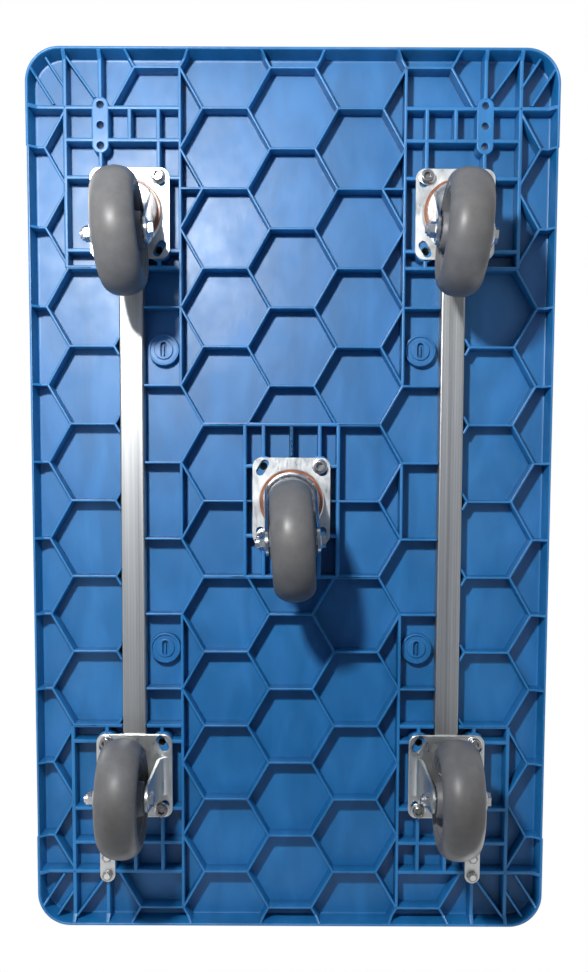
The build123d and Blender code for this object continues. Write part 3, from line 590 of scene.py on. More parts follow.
def grown(name, places, numbers, tree, slot, body, replaced, shape=None, crease=35.0):
    """Run a tree on places (millimetres), each with its named numbers, and keep the plain mesh.

    shape is the object that the tree sets at each place, where it takes one.
    """
    mesh = bpy.data.meshes.new(name)
    mesh.from_pydata([Vector(p) * MM for p in places], [], [])
    for label, values in numbers.items():
        mesh.attributes.new(label, "FLOAT", "POINT").data.foreach_set("value", values)
    piece = bpy.data.objects.new(name, mesh)
    bpy.context.collection.objects.link(piece)
    modifier = piece.modifiers.new("steps", "NODES")
    modifier.node_group = tree
    given = {"Finish": looks_now()[slot], "Shape": shape}
    for socket in tree.interface.items_tree:
        if socket.in_out == "INPUT" and socket.name in given:
            modifier[socket.identifier] = given[socket.name]
    set_in_place(piece)
    smooth(piece, crease)
    dress(piece, slot, body, replaced)


def copies(name, shape, places, slot, body, replaced, turns=None):
    """One made shape set at every place by a tree, as one piece."""
    bmesh.ops.recalc_face_normals(shape.bm, faces=shape.bm.faces)
    mesh = bpy.data.meshes.new(name + "_one")
    shape.bm.to_mesh(mesh)
    shape.bm.free()
    one = bpy.data.objects.new(name + "_one", mesh)
    bpy.context.collection.objects.link(one)
    steps = Steps(name + "_rows", {})
    steps.tree.interface.new_socket("Shape", in_out="INPUT", socket_type="NodeSocketObject")
    read = steps.add("GeometryNodeObjectInfo", {"Object": steps.given["Shape"], "As Instance": True})
    tree = steps.at_places(read.outputs["Geometry"], Rotation=steps.vector(0.0, 0.0, steps.read("turn")))
    grown(name, places, {"turn": turns or [0.0] * len(places)}, tree, slot, body, replaced, one)
    bpy.data.objects.remove(one)


def web_tree():
    """One drafted bar with rounded edges along each web, and its height under the skin."""
    steps = Steps("deck_web_rows", {
        "Depth": WEB_DEPTH * MM, "Tip width": HEX_WEB * MM, "Root width": WEB_ROOT * MM,
        "Edge radius": 0.9 * MM, "Edge steps": 2})
    outline = steps.add("GeometryNodeCurvePrimitiveQuadrilateral", {
        "Height": steps.given["Depth"], "Bottom Width": steps.given["Tip width"],
        "Top Width": steps.given["Root width"], "Offset": 0.0}, mode="TRAPEZOID")
    rounded = steps.add("GeometryNodeFilletCurve", {
        "Curve": outline.outputs[0], "Count": steps.given["Edge steps"],
        "Radius": steps.given["Edge radius"]}, mode="POLY")
    line = steps.add("GeometryNodeCurvePrimitiveLine", {"Start": (0, 0, -0.5), "End": (0, 0, 0.5)})
    bar = steps.add("GeometryNodeCurveToMesh", {
        "Curve": line.outputs[0], "Profile Curve": rounded.outputs[0], "Fill Caps": True})
    return steps.at_places(steps.laid(bar.outputs[0], math.pi / 2, 0.0, math.pi / 2),
                           Rotation=steps.vector(0.0, 0.0, steps.read("web_angle")),
                           Scale=steps.vector(steps.read("web_length"), steps.read("web_width"), 1.0))


# ---------------------------------------------------------------- the deck's webs
def corner_copies(row):
    """A web (start, end, width) and its copies in the other three corners."""
    (ax, ay), (bx, by), width = row
    return [((sx * ax, sy * ay), (sx * bx, sy * by), width) for sx, sy in CORNERS]


def honeycomb():
    """Every side of every cell, over the whole deck."""
    columns = math.ceil(SIDE / (1.5 * HEX_SIDE)) + 1
    rows = math.ceil(END / ROW) + 1
    for c in range(-columns, columns + 1):
        for k in range(-rows, rows + 1):
            x = (k + (0.5 if c % 2 == 0 else 0.0)) * ROW
            near, far = (1.5 * c - 0.5) * HEX_SIDE, (1.5 * c + 0.5) * HEX_SIDE
            yield (x, near), (x, far), HEX_WEB
            yield (x, far), (x + ROW / 2, far + HEX_SIDE / 2), HEX_WEB
            yield (x, far), (x - ROW / 2, far + HEX_SIDE / 2), HEX_WEB


def box_webs():
    """Straight webs round a corner caster and the middle one, one quarter of the deck."""
    hole_x, hole_y = HOLES_ALONG / 2, HOLES_ACROSS / 2
    x_in, x_out = CASTER_X - BOX_BACK, CASTER_X + BOX_FRONT
    y_in, y_out = CASTER_Y - BOX_INNER, CASTER_Y + BOX_OUTER
    cross_x, mid_y = x_out - BOX_CROSS_WEB, MID_BOX_SIDE
    webs = [((x, y_in), (x, y_out), BOX_WEB) for x in (cross_x, CASTER_X + hole_x, CASTER_X - hole_x, x_in)]
    webs += [
        ((x_out, y_in), (x_out, SIDE), BOX_WEB),
        ((x_in, y_out), (END, y_out), BOX_WEB),
        ((1.5 * ROW, y_in), (END - LONG_WEB_END, y_in), LONG_WEB),
        ((CASTER_X + hole_x, HANDLE_Y), (END, HANDLE_Y), BOX_WEB),
        ((x_in, CASTER_Y + hole_y), (CASTER_X - hole_x, CASTER_Y + hole_y), BOX_WEB),
        ((cross_x, CASTER_Y), (x_out, CASTER_Y), BOX_WEB),
        ((CASTER_X + hole_x, CASTER_Y - hole_y), (x_out, CASTER_Y - hole_y), BOX_WEB),
        ((x_in, CASTER_Y - hole_y), (CASTER_X - hole_x, CASTER_Y - hole_y), BOX_WEB),
        ((END - STRUT_END, y_out), (HANDLE_X + STRUT_STEP[0], HANDLE_Y + STRUT_STEP[1]), HEX_WEB),
        *(((END - a[0], SIDE - a[1]), (END - b[0], SIDE - b[1]), HEX_WEB) for a, b in CORNER_WEBS),
        ((ROW, 0), (ROW, 2 * HEX_SIDE), BOX_WEB),
        ((0, mid_y), (ROW, mid_y), BOX_WEB),
        ((hole_x, hole_y), (ROW, hole_y), BOX_WEB),
        ((PLATE_LENGTH / 2 - PLATE_EDGE_LAP, 0), (ROW, 0), BOX_WEB),
        ((0, PLATE_WIDTH / 2 - PLATE_EDGE_LAP), (0, mid_y), HEX_WEB),
        ((hole_x, hole_y), (hole_x, mid_y), BOX_WEB),
    ]
    blanks = [(x_in, x_out, y_in, y_out), (x_out, END, 4 * HEX_SIDE + 1, SIDE + 1),
              (-ROW, ROW, -mid_y, mid_y)]
    return webs, blanks


def rim_gap(x, y):
    """Distance from a point in plan to the rim's inner face, above nought inside it."""
    r = DECK_CORNER_R - RIM_WALL
    dx, dy = abs(x) - (END - RIM_WALL - r), abs(y) - (SIDE - RIM_WALL - r)
    return r - (math.hypot(max(dx, 0), max(dy, 0)) + min(max(dx, dy), 0))


def room_for_web(x, y):
    """Whether a web may stand here: inside the rim, off the rails and the bosses' holes."""
    if rim_gap(x, y) < -RIM_LAP:
        return False
    if abs(x) < RAIL_HIGH.x + RAIL_ROOM and RAIL_LOW.y - RAIL_ROOM < abs(y) < RAIL_HIGH.y + RAIL_ROOM:
        return False
    along, across = abs(abs(x) - HANDLE_X), abs(abs(y) - HANDLE_Y)
    lap_along, lap_across = HANDLE_BOSS_LAP
    if along < HANDLE_BOSS_LENGTH / 2 - lap_along and across < HANDLE_BOSS_WIDTH / 2 - lap_across:
        return False
    return all(math.hypot(x - bx, y - by) > BOSS_LIP_R for bx, by in BOLT_PLACES)


def trimmed(start, end, allowed):
    """The stretches of a line where its points are allowed, tried at every step."""
    step, shortest = 0.5, 1.0
    start, end = Vector(start), Vector(end)
    length = (end - start).length
    count = max(2, math.ceil(length / step))
    runs, since = [], None
    for n in range(count + 1):
        point = start.lerp(end, n / count)
        if allowed(*point):
            since = point if since is None else since
            last = point
        elif since is not None:
            runs.append((since, last))
            since = None
    if since is not None:
        runs.append((since, last))
    return [run for run in runs if (run[1] - run[0]).length > shortest]


def web_plan():
    """Every stretch of web as (start, end, width)."""
    boxes, blanks = box_webs()

    def in_cells(x, y):
        ax, ay = abs(x), abs(y)
        if any(x0 < ax < x1 and y0 < ay < y1 for x0, x1, y0, y1 in blanks):
            return False
        return room_for_web(x, y)

    webs = [(a, b, w) for start, end, w in honeycomb() for a, b in trimmed(start, end, in_cells)]
    straight = [copy for row in boxes for copy in corner_copies(row)]
    for side in (-1, 1):
        y = side * 2.5 * HEX_SIDE
        straight.append(((-ROW / 2, y), (ROW / 2, y), LONG_WEB))
        straight.append(((4 * ROW, side * 2 * HEX_SIDE), (4 * ROW, y), HEX_WEB))
    webs += [(a, b, w) for start, end, w in straight for a, b in trimmed(start, end, room_for_web)]
    return webs


def deck_holes():
    """The handle bosses' holes through the skin."""
    return [circle(sx * HANDLE_X + n * HANDLE_HOLE_PITCH, sy * HANDLE_Y, HANDLE_HOLE_R, 20)
            for sx, sy in CORNERS for n in (-1, 0, 1)]


def round_rectangle_at(x, y, length, width, radius):
    """Rectangle with round corners about a place."""
    return [(px + x, py + y) for px, py in round_rectangle(length, width, radius, 3)]


# ---------------------------------------------------------------- pressed caster metal
def plate_slots():
    """The four slanted slots of a caster plate."""
    along, across = HOLES_ALONG / 2 - SLOT_SHIFT[0], HOLES_ACROSS / 2 + SLOT_SHIFT[1]
    return [round_slot(sx * along, sy * across, SLOT_LENGTH, SLOT_WIDTH, -sx * sy * SLOT_SLANT)
            for sx, sy in CORNERS]


def plate_with_slots(shape):
    """Pressed plate, its outer edges rolled and its slots slightly dished."""
    shape.solid(round_rectangle(PLATE_LENGTH, PLATE_WIDTH, PLATE_CORNER_R, 8),
                edge_profile(PLATE_Z, MOUNT_Z, 1.4, 0.4), plate_slots(),
                [(0.9, PLATE_Z), (0.25, PLATE_Z + 0.25), (0, PLATE_Z + 0.9), (0, MOUNT_Z)])


def leg_span(z, top_z, x_back, x_front, axle_x, axle_z=WHEEL_R, foot=FORK_FOOT_R):
    """Back and front of a leg at a height: straight edges down to a round foot."""
    spans = []
    for x_top, side in ((x_back, -1), (x_front, 1)):
        dx, dz = x_top - axle_x, top_z - axle_z
        reach = math.hypot(dx, dz)
        a = math.atan2(dz, dx) - side * math.acos(foot / reach)
        tx, tz = axle_x + foot * math.cos(a), axle_z + foot * math.sin(a)
        if z >= tz:
            spans.append(tx + (x_top - tx) * (z - tz) / (top_z - tz))
        else:
            spans.append(axle_x + side * math.sqrt(max(foot ** 2 - (z - axle_z) ** 2, 0.04)))
    return spans


def sheet_leg(shape, levels, across, thickness):
    """A leg of bent sheet: levels are (height, back, front), across gives its outer face's distance out."""
    columns, edge_pull = 8, 0.7
    for hand in (-1, 1):
        grids = []
        for depth in (0.0, thickness):
            rows = []
            for z, back, front in levels:
                row = []
                for n in range(columns + 1):
                    pull = edge_pull if n in (0, columns) and depth == 0.0 else 0.0
                    x = back + (front - back) * n / columns
                    row.append((x, hand * (across(x, z) - depth - pull), z))
                rows.append(shape.ring(row))
            grids.append(rows)
        outer, inner = grids
        shape.skin(outer, closed=False)
        shape.skin(inner, closed=False)
        rims = [[row[0] for row in rows] + rows[-1][1:] + [row[-1] for row in reversed(rows[:-1])]
                + rows[0][-2:0:-1] for rows in grids]
        shape.skin(rims)


def axle_bosses(shape, axle_x):
    """Low round bosses on both legs' outer faces, round the axle."""
    boss = [(5.2, 0.0), (13.5, 0.0), (12.6, 0.9), (11.4, 1.3), (5.2, 1.3)]
    for hand in (-1, 1):
        shape.lathe([(r, hand * (LEG_OUT + h - 0.1)) for r, h in boss], (axle_x, 0, WHEEL_R), 28, "Y")


def pressed_legs(shape):
    """Legs that flare out into the plate, the edges of their outer faces pulled back a little."""
    top, half_width = PLATE_Z + 1.0, 26.0
    flare_out, flare_start, flare_height, lean_out = 13.0, PLATE_Z - 15, 15.5, 2.5

    def across(x, z):
        rise = max(0.0, min(1.0, (z - flare_start) / flare_height))
        flare = flare_out * (1 - math.sqrt(max(0.0, 1 - rise ** 2)))
        lean = lean_out * max(0.0, (z - WHEEL_R) / (PLATE_Z - WHEEL_R))
        return LEG_OUT + lean + flare

    heights = [WHEEL_R - FORK_FOOT_R + d for d in (0.0, 0.6, 2.2, 5.0, 9.0, 14.0, 20.0, 28.0)]
    heights += [top - d for d in (66, 50, 38, 28, 21, 16, 13, 10, 7.5, 5.5, 3.8, 2.4, 1.2, 0.4, 0.0)]
    levels = [(z, *leg_span(z, top, -half_width, half_width, 0.0)) for z in sorted(set(heights))]
    sheet_leg(shape, levels, across, FORK_T)
    axle_bosses(shape, 0)


def fork_legs(shape):
    """Legs that start on the crown's round edge and trail back to the axle."""
    top, back, front = CROWN_Z, -30.0, 25.0
    least_out, merge_height = 22.0, 34.0

    def across(x, z):
        round_y = math.sqrt(max(CROWN_R ** 2 - x ** 2, least_out ** 2))
        down = max(0.0, min(1.0, (top - z) / merge_height))
        blend = down * down * (3 - 2 * down)
        return round_y + (LEG_OUT - round_y) * blend

    heights = [WHEEL_R - FORK_FOOT_R + d for d in (0.0, 0.6, 2.2, 5.0, 9.0, 14.0, 20.0, 28.0, 38.0)]
    heights += [top - d for d in (54, 44, 35, 27, 20, 14, 9, 5, 2, 0.0)]
    levels = [(z, *leg_span(z, top, back, front, -TRAIL)) for z in sorted(set(heights))]
    sheet_leg(shape, levels, across, FORK_T)
    axle_bosses(shape, -TRAIL)


def fork_crown(shape):
    """Domed crown with a rolled edge."""
    profile = [(6.1, 0.0), (37.2, 0.0), (CROWN_R, 0.7), (CROWN_R, 3.2), (37.2, 4.6), (35.4, 5.2), (33.0, 4.6),
               (30.0, 4.4), (24.0, 5.2), (18.0, 5.6), (6.1, 5.3)]
    shape.lathe([(r, CROWN_Z - down) for r, down in profile], (0, 0), 56)


# ---------------------------------------------------------------- settings
class TruckLooks(bpy.types.PropertyGroup):
    """Colours a user may change."""

    deck_colour: FloatVectorProperty(
        name="Deck colour", description="Colour of the moulded deck", subtype="COLOR", size=3,
        min=0.0, max=1.0, default=(0.002, 0.119, 0.320))
    tyre_colour: FloatVectorProperty(
        name="Tyre colour", description="Colour of the tyres", subtype="COLOR", size=3,
        min=0.0, max=1.0, default=(0.106, 0.106, 0.108))
    stud_pitch: FloatProperty(
        name="Stud pitch", description="Distance between the anti-slip studs", default=22.0 * MM,
        unit="LENGTH")


class TruckStudio(bpy.types.PropertyGroup):
    """Camera, lamp and floor settings."""

    camera_depth: FloatProperty(
        name="Camera depth", description="Distance of the camera below the floor", default=1.3074,
        unit="LENGTH")
    camera_ahead: FloatProperty(
        name="Camera ahead", description="Camera's place along the deck", default=0.0238, unit="LENGTH")
    camera_tilt: FloatProperty(
        name="Camera tilt", description="Lean of the view towards the rigid casters",
        default=math.radians(5.05), subtype="ANGLE")
    camera_lens: FloatProperty(name="Lens", description="Focal length in millimetres", default=41.94)
    camera_shift: FloatProperty(name="Shift", description="Upward shift of the frame", default=0.100)
    lamp_power: FloatProperty(name="Lamp power", description="Power of the low lamp in watts", default=24.5)
    lamp_size: FloatProperty(
        name="Lamp size", description="Width of the low lamp", default=0.10, unit="LENGTH")
    floor_size: FloatProperty(
        name="Floor size", description="Side of the floor", default=90.0, unit="LENGTH")


# ---------------------------------------------------------------- operators
class TRUCK_OT_stage(bpy.types.Operator):
    """Floor, lamps, sky and camera"""

    bl_idname = "truck.stage"
    bl_label = "Stage"

    def execute(self, context):
        studio = context.scene.truck_studio
        self.floor(studio.floor_size)
        self.sky(context.scene)
        self.lamps(studio)
        self.camera(context.scene, studio)
        context.scene.view_settings.view_transform = "Standard"
        return {"FINISHED"}

    def floor(self, size):
        """Pale floor, seen only from above so that the deck's underside can be looked at."""
        bpy.ops.mesh.primitive_plane_add(size=size, location=(0, 0, 0))
        floor = bpy.context.object
        floor.name = "studio_floor"
        n = Nodes("floor_paper")
        away = n.add("ShaderNodeVectorMath", operation="LENGTH")
        n.join(n.coord, away.inputs[0])
        glow = n.spread(away.outputs["Value"], 2.0, 9.0, 0.0, 0.34)
        n.set(Base_Color=n.blend(n.noise(6.0), (0.78, 0.78, 0.78), (0.82, 0.82, 0.82)), Roughness=0.75,
              Emission_Color=(1.0, 1.0, 1.0), Emission_Strength=glow)
        clear = n.add("ShaderNodeBsdfTransparent")
        mix = n.add("ShaderNodeMixShader")
        side = n.add("ShaderNodeNewGeometry")
        out = next(node for node in n.tree.nodes if node.type == "OUTPUT_MATERIAL")
        n.join(side.outputs["Backfacing"], mix.inputs["Fac"])
        n.join(n.shader.outputs["BSDF"], mix.inputs[1])
        n.join(clear.outputs["BSDF"], mix.inputs[2])
        n.join(mix.outputs["Shader"], out.inputs["Surface"])
        floor.data.materials.append(n.material)
        floor.visible_shadow = False

    def sky(self, scene):
        """White to the eye, dimmer as a light."""
        world = bpy.data.worlds.new("studio")
        scene.world = world
        world.use_nodes = True
        tree = world.node_tree
        back = tree.nodes["Background"]
        back.inputs["Color"].default_value = (1.0, 1.0, 1.0, 1.0)
        path = tree.nodes.new("ShaderNodeLightPath")
        way = tree.nodes.new("ShaderNodeSeparateXYZ")
        tree.links.new(tree.nodes.new("ShaderNodeTexCoord").outputs["Generated"], way.inputs[0])
        height = tree.nodes.new("ShaderNodeMapRange")
        for key, value in {"From Min": 0.15, "From Max": 0.6, "To Min": 0.42, "To Max": 0.95}.items():
            height.inputs[key].default_value = value
        tree.links.new(way.outputs["Z"], height.inputs["Value"])
        ramp = tree.nodes.new("ShaderNodeMapRange")
        ramp.inputs["To Max"].default_value = 1.0
        tree.links.new(height.outputs["Result"], ramp.inputs["To Min"])
        tree.links.new(path.outputs["Is Camera Ray"], ramp.inputs["Value"])
        tree.links.new(ramp.outputs["Result"], back.inputs["Strength"])

    def lamps(self, studio):
        low_lamp = (0.60, -0.36, -1.03)
        self.lamp("low_lamp", low_lamp, (0.0, 0.0, CAD_HIGH[2]), studio.lamp_power, studio.lamp_size)
        self.lamp("soft_key", (1.6, -2.0, 2.6), (0, 0, 0.15), 55.0, 1.8)
        self.lamp("soft_fill", (-2.2, 1.6, 2.0), (0, 0, 0.15), 25.0, 2.2)

    def lamp(self, name, place, target, power, size):
        light = bpy.data.lights.new(name, "AREA")
        light.energy = power
        light.size = size
        lamp = bpy.data.objects.new(name, light)
        bpy.context.collection.objects.link(lamp)
        lamp.location = place
        lamp.rotation_euler = (Vector(target) - Vector(place)).to_track_quat("-Z", "Y").to_euler()

    def camera(self, scene, studio):
        """Below the floor, looking up at the deck's underside, +X at the top of the frame."""
        data = bpy.data.cameras.new("camera")
        camera = bpy.data.objects.new("camera", data)
        scene.collection.objects.link(camera)
        side_step, side_lean, turn_in, roll = 0.0047, 0.0005, 0.004, 0.0009   # not quite square
        lean = math.sin(studio.camera_tilt)
        back = Vector((lean, side_lean, -math.cos(studio.camera_tilt))).normalized()
        right = Vector((turn_in, 1.0, roll)).normalized()
        up = back.cross(right).normalized()
        right = up.cross(back)
        turn = Matrix((right, up, back)).transposed()
        place = Matrix.Translation((studio.camera_ahead, side_step, -studio.camera_depth))
        camera.matrix_world = place @ turn.to_4x4()
        data.lens = studio.camera_lens
        data.sensor_width = 36.0
        data.shift_y = studio.camera_shift
        data.dof.use_dof = False
        data.clip_start, data.clip_end = 0.01, 100.0
        scene.camera = camera


class TRUCK_OT_finish_cad(bpy.types.Operator):
    """Give every CAD node the finish of its slot"""

    bl_idname = "truck.finish_cad"
    bl_label = "Finish CAD nodes"

    def execute(self, context):
        looks = looks_now()
        for row in frame["record"]["subparts"]:
            node = frame["nodes"][row["node"]]
            node.data.materials.clear()
            node.data.materials.append(looks[row["material_slot"]])
        return {"FINISHED"}


class TRUCK_OT_deck_shell(bpy.types.Operator):
    """Skin and rim of the moulded deck"""

    bl_idname = "truck.deck_shell"
    bl_label = "Deck shell"

    def execute(self, context):
        step = END - RELIEF_END_INSET
        stops = [s * (step + d) for s in (-1, 1) for d in (-4.0, -1.0, 1.0)]
        stops += [s * 150.0 for s in (-2, -1, 0, 1, 2)]
        outer = round_rectangle(2 * END, 2 * SIDE, DECK_CORNER_R, 14, stops)
        lip = [(RIM_WALL, 2.2), (3.7, 0.9), (2.9, 0.15), (2.0, 0.0), (1.1, 0.15), (0.3, 0.9), (0.0, 2.2)]
        wall = [(6.5, SKIN_Z), (5.4, SKIN_Z - 0.5), (4.8, SKIN_Z - 1.8)] + [(d, RIM_Z + up) for d, up in lip]
        top = [(d, z) for d, z in edge_profile(RIM_Z, TOP_Z, 0, TOP_EDGE_R, 4) if z > RIM_Z + 10]
        shape = Shape()
        shape.solid(outer, wall + top, deck_holes(), [(0, SKIN_Z), (0, TOP_Z - 0.6), (0.6, TOP_Z)], 2.0)
        for vert in shape.bm.verts:
            x, y = vert.co.x / MM, vert.co.y / MM
            if abs(x) < step and abs(y) > SIDE - 3.0:
                vert.co.y -= math.copysign(SIDE_RELIEF * MM, y)
        shape.piece("deck_shell", "deck_plastic", "root", ["deck"])
        return {"FINISHED"}


class TRUCK_OT_deck_webs(bpy.types.Operator):
    """Honeycomb and straight webs under the deck"""

    bl_idname = "truck.deck_webs"
    bl_label = "Deck webs"

    def execute(self, context):
        webs = web_plan()
        places = [((a[0] + b[0]) / 2, (a[1] + b[1]) / 2, WEB_MIDDLE_Z) for a, b, _ in webs]
        numbers = {
            "web_length": [math.hypot(b[0] - a[0], b[1] - a[1]) * MM for a, b, _ in webs],
            "web_angle": [math.atan2(b[1] - a[1], b[0] - a[0]) for a, b, _ in webs],
            "web_width": [w / HEX_WEB for _, _, w in webs],
        }
        grown("deck_webs", places, numbers, web_tree(), "deck_plastic", "root", ["deck"])
        self.slopes(webs)
        return {"FINISHED"}

    def slopes(self, webs):
        """Short slopes from the rim's edge down to each web that meets it."""
        shape = Shape()
        for a, b, width in webs:
            for near, far in ((a, b), (b, a)):
                if rim_gap(*near) > 0.3:
                    continue
                way = Vector((far[0] - near[0], far[1] - near[1])).normalized()
                across = Vector((-way.y, way.x)) * width / 2
                reach = RIM_DROP + RIM_WALL
                side_view = (
                    (-1.0, MOUNT_Z + 1), (-1.0, RIM_Z + 1.0), (0.8, RIM_Z + 0.7), (2.0, RIM_Z + 1.4),
                    (reach - 4.4, MOUNT_Z - 0.6), (reach - 2.6, MOUNT_Z + 0.2), (reach - 2.0, MOUNT_Z + 1))
                rings = []
                for hand, drop in ((-1, 0.97), (-0.86, 1.0), (0.86, 1.0), (1, 0.97)):
                    rings.append(shape.ring([
                        (near[0] + way.x * d + across.x * hand, near[1] + way.y * d + across.y * hand,
                         MOUNT_Z + 1 + (z - MOUNT_Z - 1) * drop) for d, z in side_view]))
                shape.skin(rings)
                shape.cap([rings[0]])
                shape.cap([rings[-1]])
        shape.piece("deck_web_slopes", "deck_plastic", "root", ["deck"])


class TRUCK_OT_deck_bosses(bpy.types.Operator):
    """Round caster bosses, slotted bosses and three-hole handle bosses"""

    bl_idname = "truck.deck_bosses"
    bl_label = "Deck bosses"

    def execute(self, context):
        self.caster_bosses()
        shape = Shape()
        lip = [(5.15, MOUNT_Z + 0.5), (5.7, MOUNT_Z), (BOSS_LIP_R, MOUNT_Z),
               (BOSS_LIP_R, MOUNT_Z + 1.45), (5.15, MOUNT_Z + 1.45)]
        for place in BOLT_PLACES:
            shape.lathe(lip, place, 28)
        for sx, sy in CORNERS:
            self.handle_boss(shape, sx * HANDLE_X, sy * HANDLE_Y)
            self.cap_boss(shape, sx * CAP_BOSS_X, sy * CAP_BOSS_Y)
        shape.piece("deck_bosses", "deck_plastic", "root", ["deck"])
        return {"FINISHED"}

    def caster_bosses(self):
        """Rings round the threaded inserts."""
        wall = CASTER_BOSS_R - INSERT_R
        steps = Steps("caster_boss_rings", {"Middle radius": (INSERT_R + wall / 2) * MM, "Wall": wall * MM,
                                            "Depth": WEB_DEPTH * MM, "Edge radius": 1.2 * MM, "Sides": 32})
        path = steps.add("GeometryNodeCurvePrimitiveCircle", {
            "Resolution": steps.given["Sides"], "Radius": steps.given["Middle radius"]})
        outline = steps.add("GeometryNodeCurvePrimitiveQuadrilateral", {
            "Width": steps.given["Wall"], "Height": steps.given["Depth"]})
        rounded = steps.add("GeometryNodeFilletCurve", {
            "Curve": outline.outputs[0], "Count": 3, "Radius": steps.given["Edge radius"]}, mode="POLY")
        tree = steps.at_places(steps.swept(path.outputs[0], rounded.outputs[0]))
        places = [(x, y, WEB_MIDDLE_Z) for x, y in BOLT_PLACES]
        grown("caster_bosses", places, {}, tree, "deck_plastic", "root", ["deck"])

    def handle_boss(self, shape, x, y):
        """Round-ended boss with three holes in line."""
        back = SKIN_Z + WEB_LAP
        holes = [circle(x + n * HANDLE_HOLE_PITCH, y, HANDLE_HOLE_R, 20) for n in (-1, 0, 1)]
        shape.solid(round_slot(x, y, HANDLE_BOSS_LENGTH, HANDLE_BOSS_WIDTH, steps=12),
                    edge_profile(MOUNT_Z, back, 1.4, 0.0), holes,
                    [(0.7, MOUNT_Z), (0.2, MOUNT_Z + 0.2), (0, MOUNT_Z + 0.7), (0, back)])

    def cap_boss(self, shape, x, y):
        """Raised outer ring, and an inner pad with a slot and a fin across it."""
        low, back = SKIN_Z - CAP_BOSS_H, SKIN_Z + WEB_LAP
        slot = round_slot(x, y, 20.0, 8.0)
        shape.lathe([(17.6, back), (17.6, low + 0.8), (18.2, low + 0.1), (19.1, low), (20.1, low + 0.3),
                     (CAP_BOSS_R, low + 1.2), (CAP_BOSS_R + 0.5, back)], (x, y), 40)
        shape.solid(circle(x, y, 17.8, 36), edge_profile(low + 2.2, back, 0.0, 0.0), [slot], border=0.5)
        shape.solid(circle(x, y, 12.5, 32), edge_profile(low, low + 3.0, 0.9, 0.0), [slot],
                    [(0.3, low), (0.0, low + 0.4), (0.0, low + 3.0)], 0.3)
        shape.solid(round_slot(x, y, 21.0, 9.0), edge_profile(low + 6.0, back, 0.0, 0.0))
        fin = round_rectangle_at(x, y, 14.0, 1.4, 0.6)
        shape.solid(fin, edge_profile(low + 1.2, low + 6.5, 0.3, 0.0), border=0.2)


class TRUCK_OT_deck_studs(bpy.types.Operator):
    """Low anti-slip studs on the load face"""

    bl_idname = "truck.deck_studs"
    bl_label = "Deck studs"

    RIM_MARGIN, SUNK = 16.0, 0.05
    ROOM_ALONG, ROOM_ACROSS, HOLE_ROOM = 12, 34, (40, 18)

    def execute(self, context):
        pitch = context.scene.truck_looks.stud_pitch / MM
        steps = Steps("deck_stud_rows", {
            "Length": 15.0 * MM, "Width": 4.6 * MM, "Height": 1.1 * MM, "Sides": 10})
        cone = steps.add("GeometryNodeMeshCone", {
            "Vertices": steps.given["Sides"], "Radius Top": 0.34, "Radius Bottom": 0.5, "Depth": 1.0},
            fill_type="NGON")
        size = steps.vector(steps.given["Length"], steps.given["Width"], steps.given["Height"])
        tree = steps.at_places(cone.outputs[0], Scale=size,
                               Rotation=steps.vector(0.0, 0.0, steps.read("stud_angle")))
        kept_off = [(low.x, high.x) for low, high in map(in_mm, ("handle_bracket_right", "handle_bumpers"))]
        places, angles = [], []
        for i in range(-int(END / pitch), int(END / pitch) + 1):
            for j in range(-int(SIDE / pitch), int(SIDE / pitch) + 1):
                x, y = i * pitch, j * pitch
                if rim_gap(x, y) > self.RIM_MARGIN and self.clear(x, y, kept_off):
                    places.append((x, y, TOP_Z - self.SUNK))
                    angles.append(math.radians(45 if (i + j) % 2 else -45))
        grown("deck_studs", places, {"stud_angle": angles}, tree, "deck_plastic", "root", ["deck"],
              crease=20.0)
        return {"FINISHED"}

    def clear(self, x, y, kept_off):
        """Whether a stud is off the handle's brackets, bolt holes and bumpers."""
        across = abs(abs(y) - HANDLE_Y)
        along = (low - self.ROOM_ALONG < x < high + self.ROOM_ALONG for low, high in kept_off)
        if across < self.ROOM_ACROSS and any(along):
            return False
        return not (abs(x - HANDLE_X) < self.HOLE_ROOM[0] and across < self.HOLE_ROOM[1])


class TRUCK_OT_rigid_brackets(bpy.types.Operator):
    """Rigid caster brackets, pressed from one sheet"""

    bl_idname = "truck.rigid_brackets"
    bl_label = "Rigid brackets"

    def execute(self, context):
        for name in RIGIDS:
            x, y = CASTERS[f"rigid_{name}"]
            shape = Shape()
            plate_with_slots(shape)
            pressed_legs(shape)
            shape.move(Matrix.Translation((x, y, 0)))
            shape.piece(f"rigid_{name}_pressing", "zinc_plate", "root", [f"rigid_{name}_bracket"])
        return {"FINISHED"}


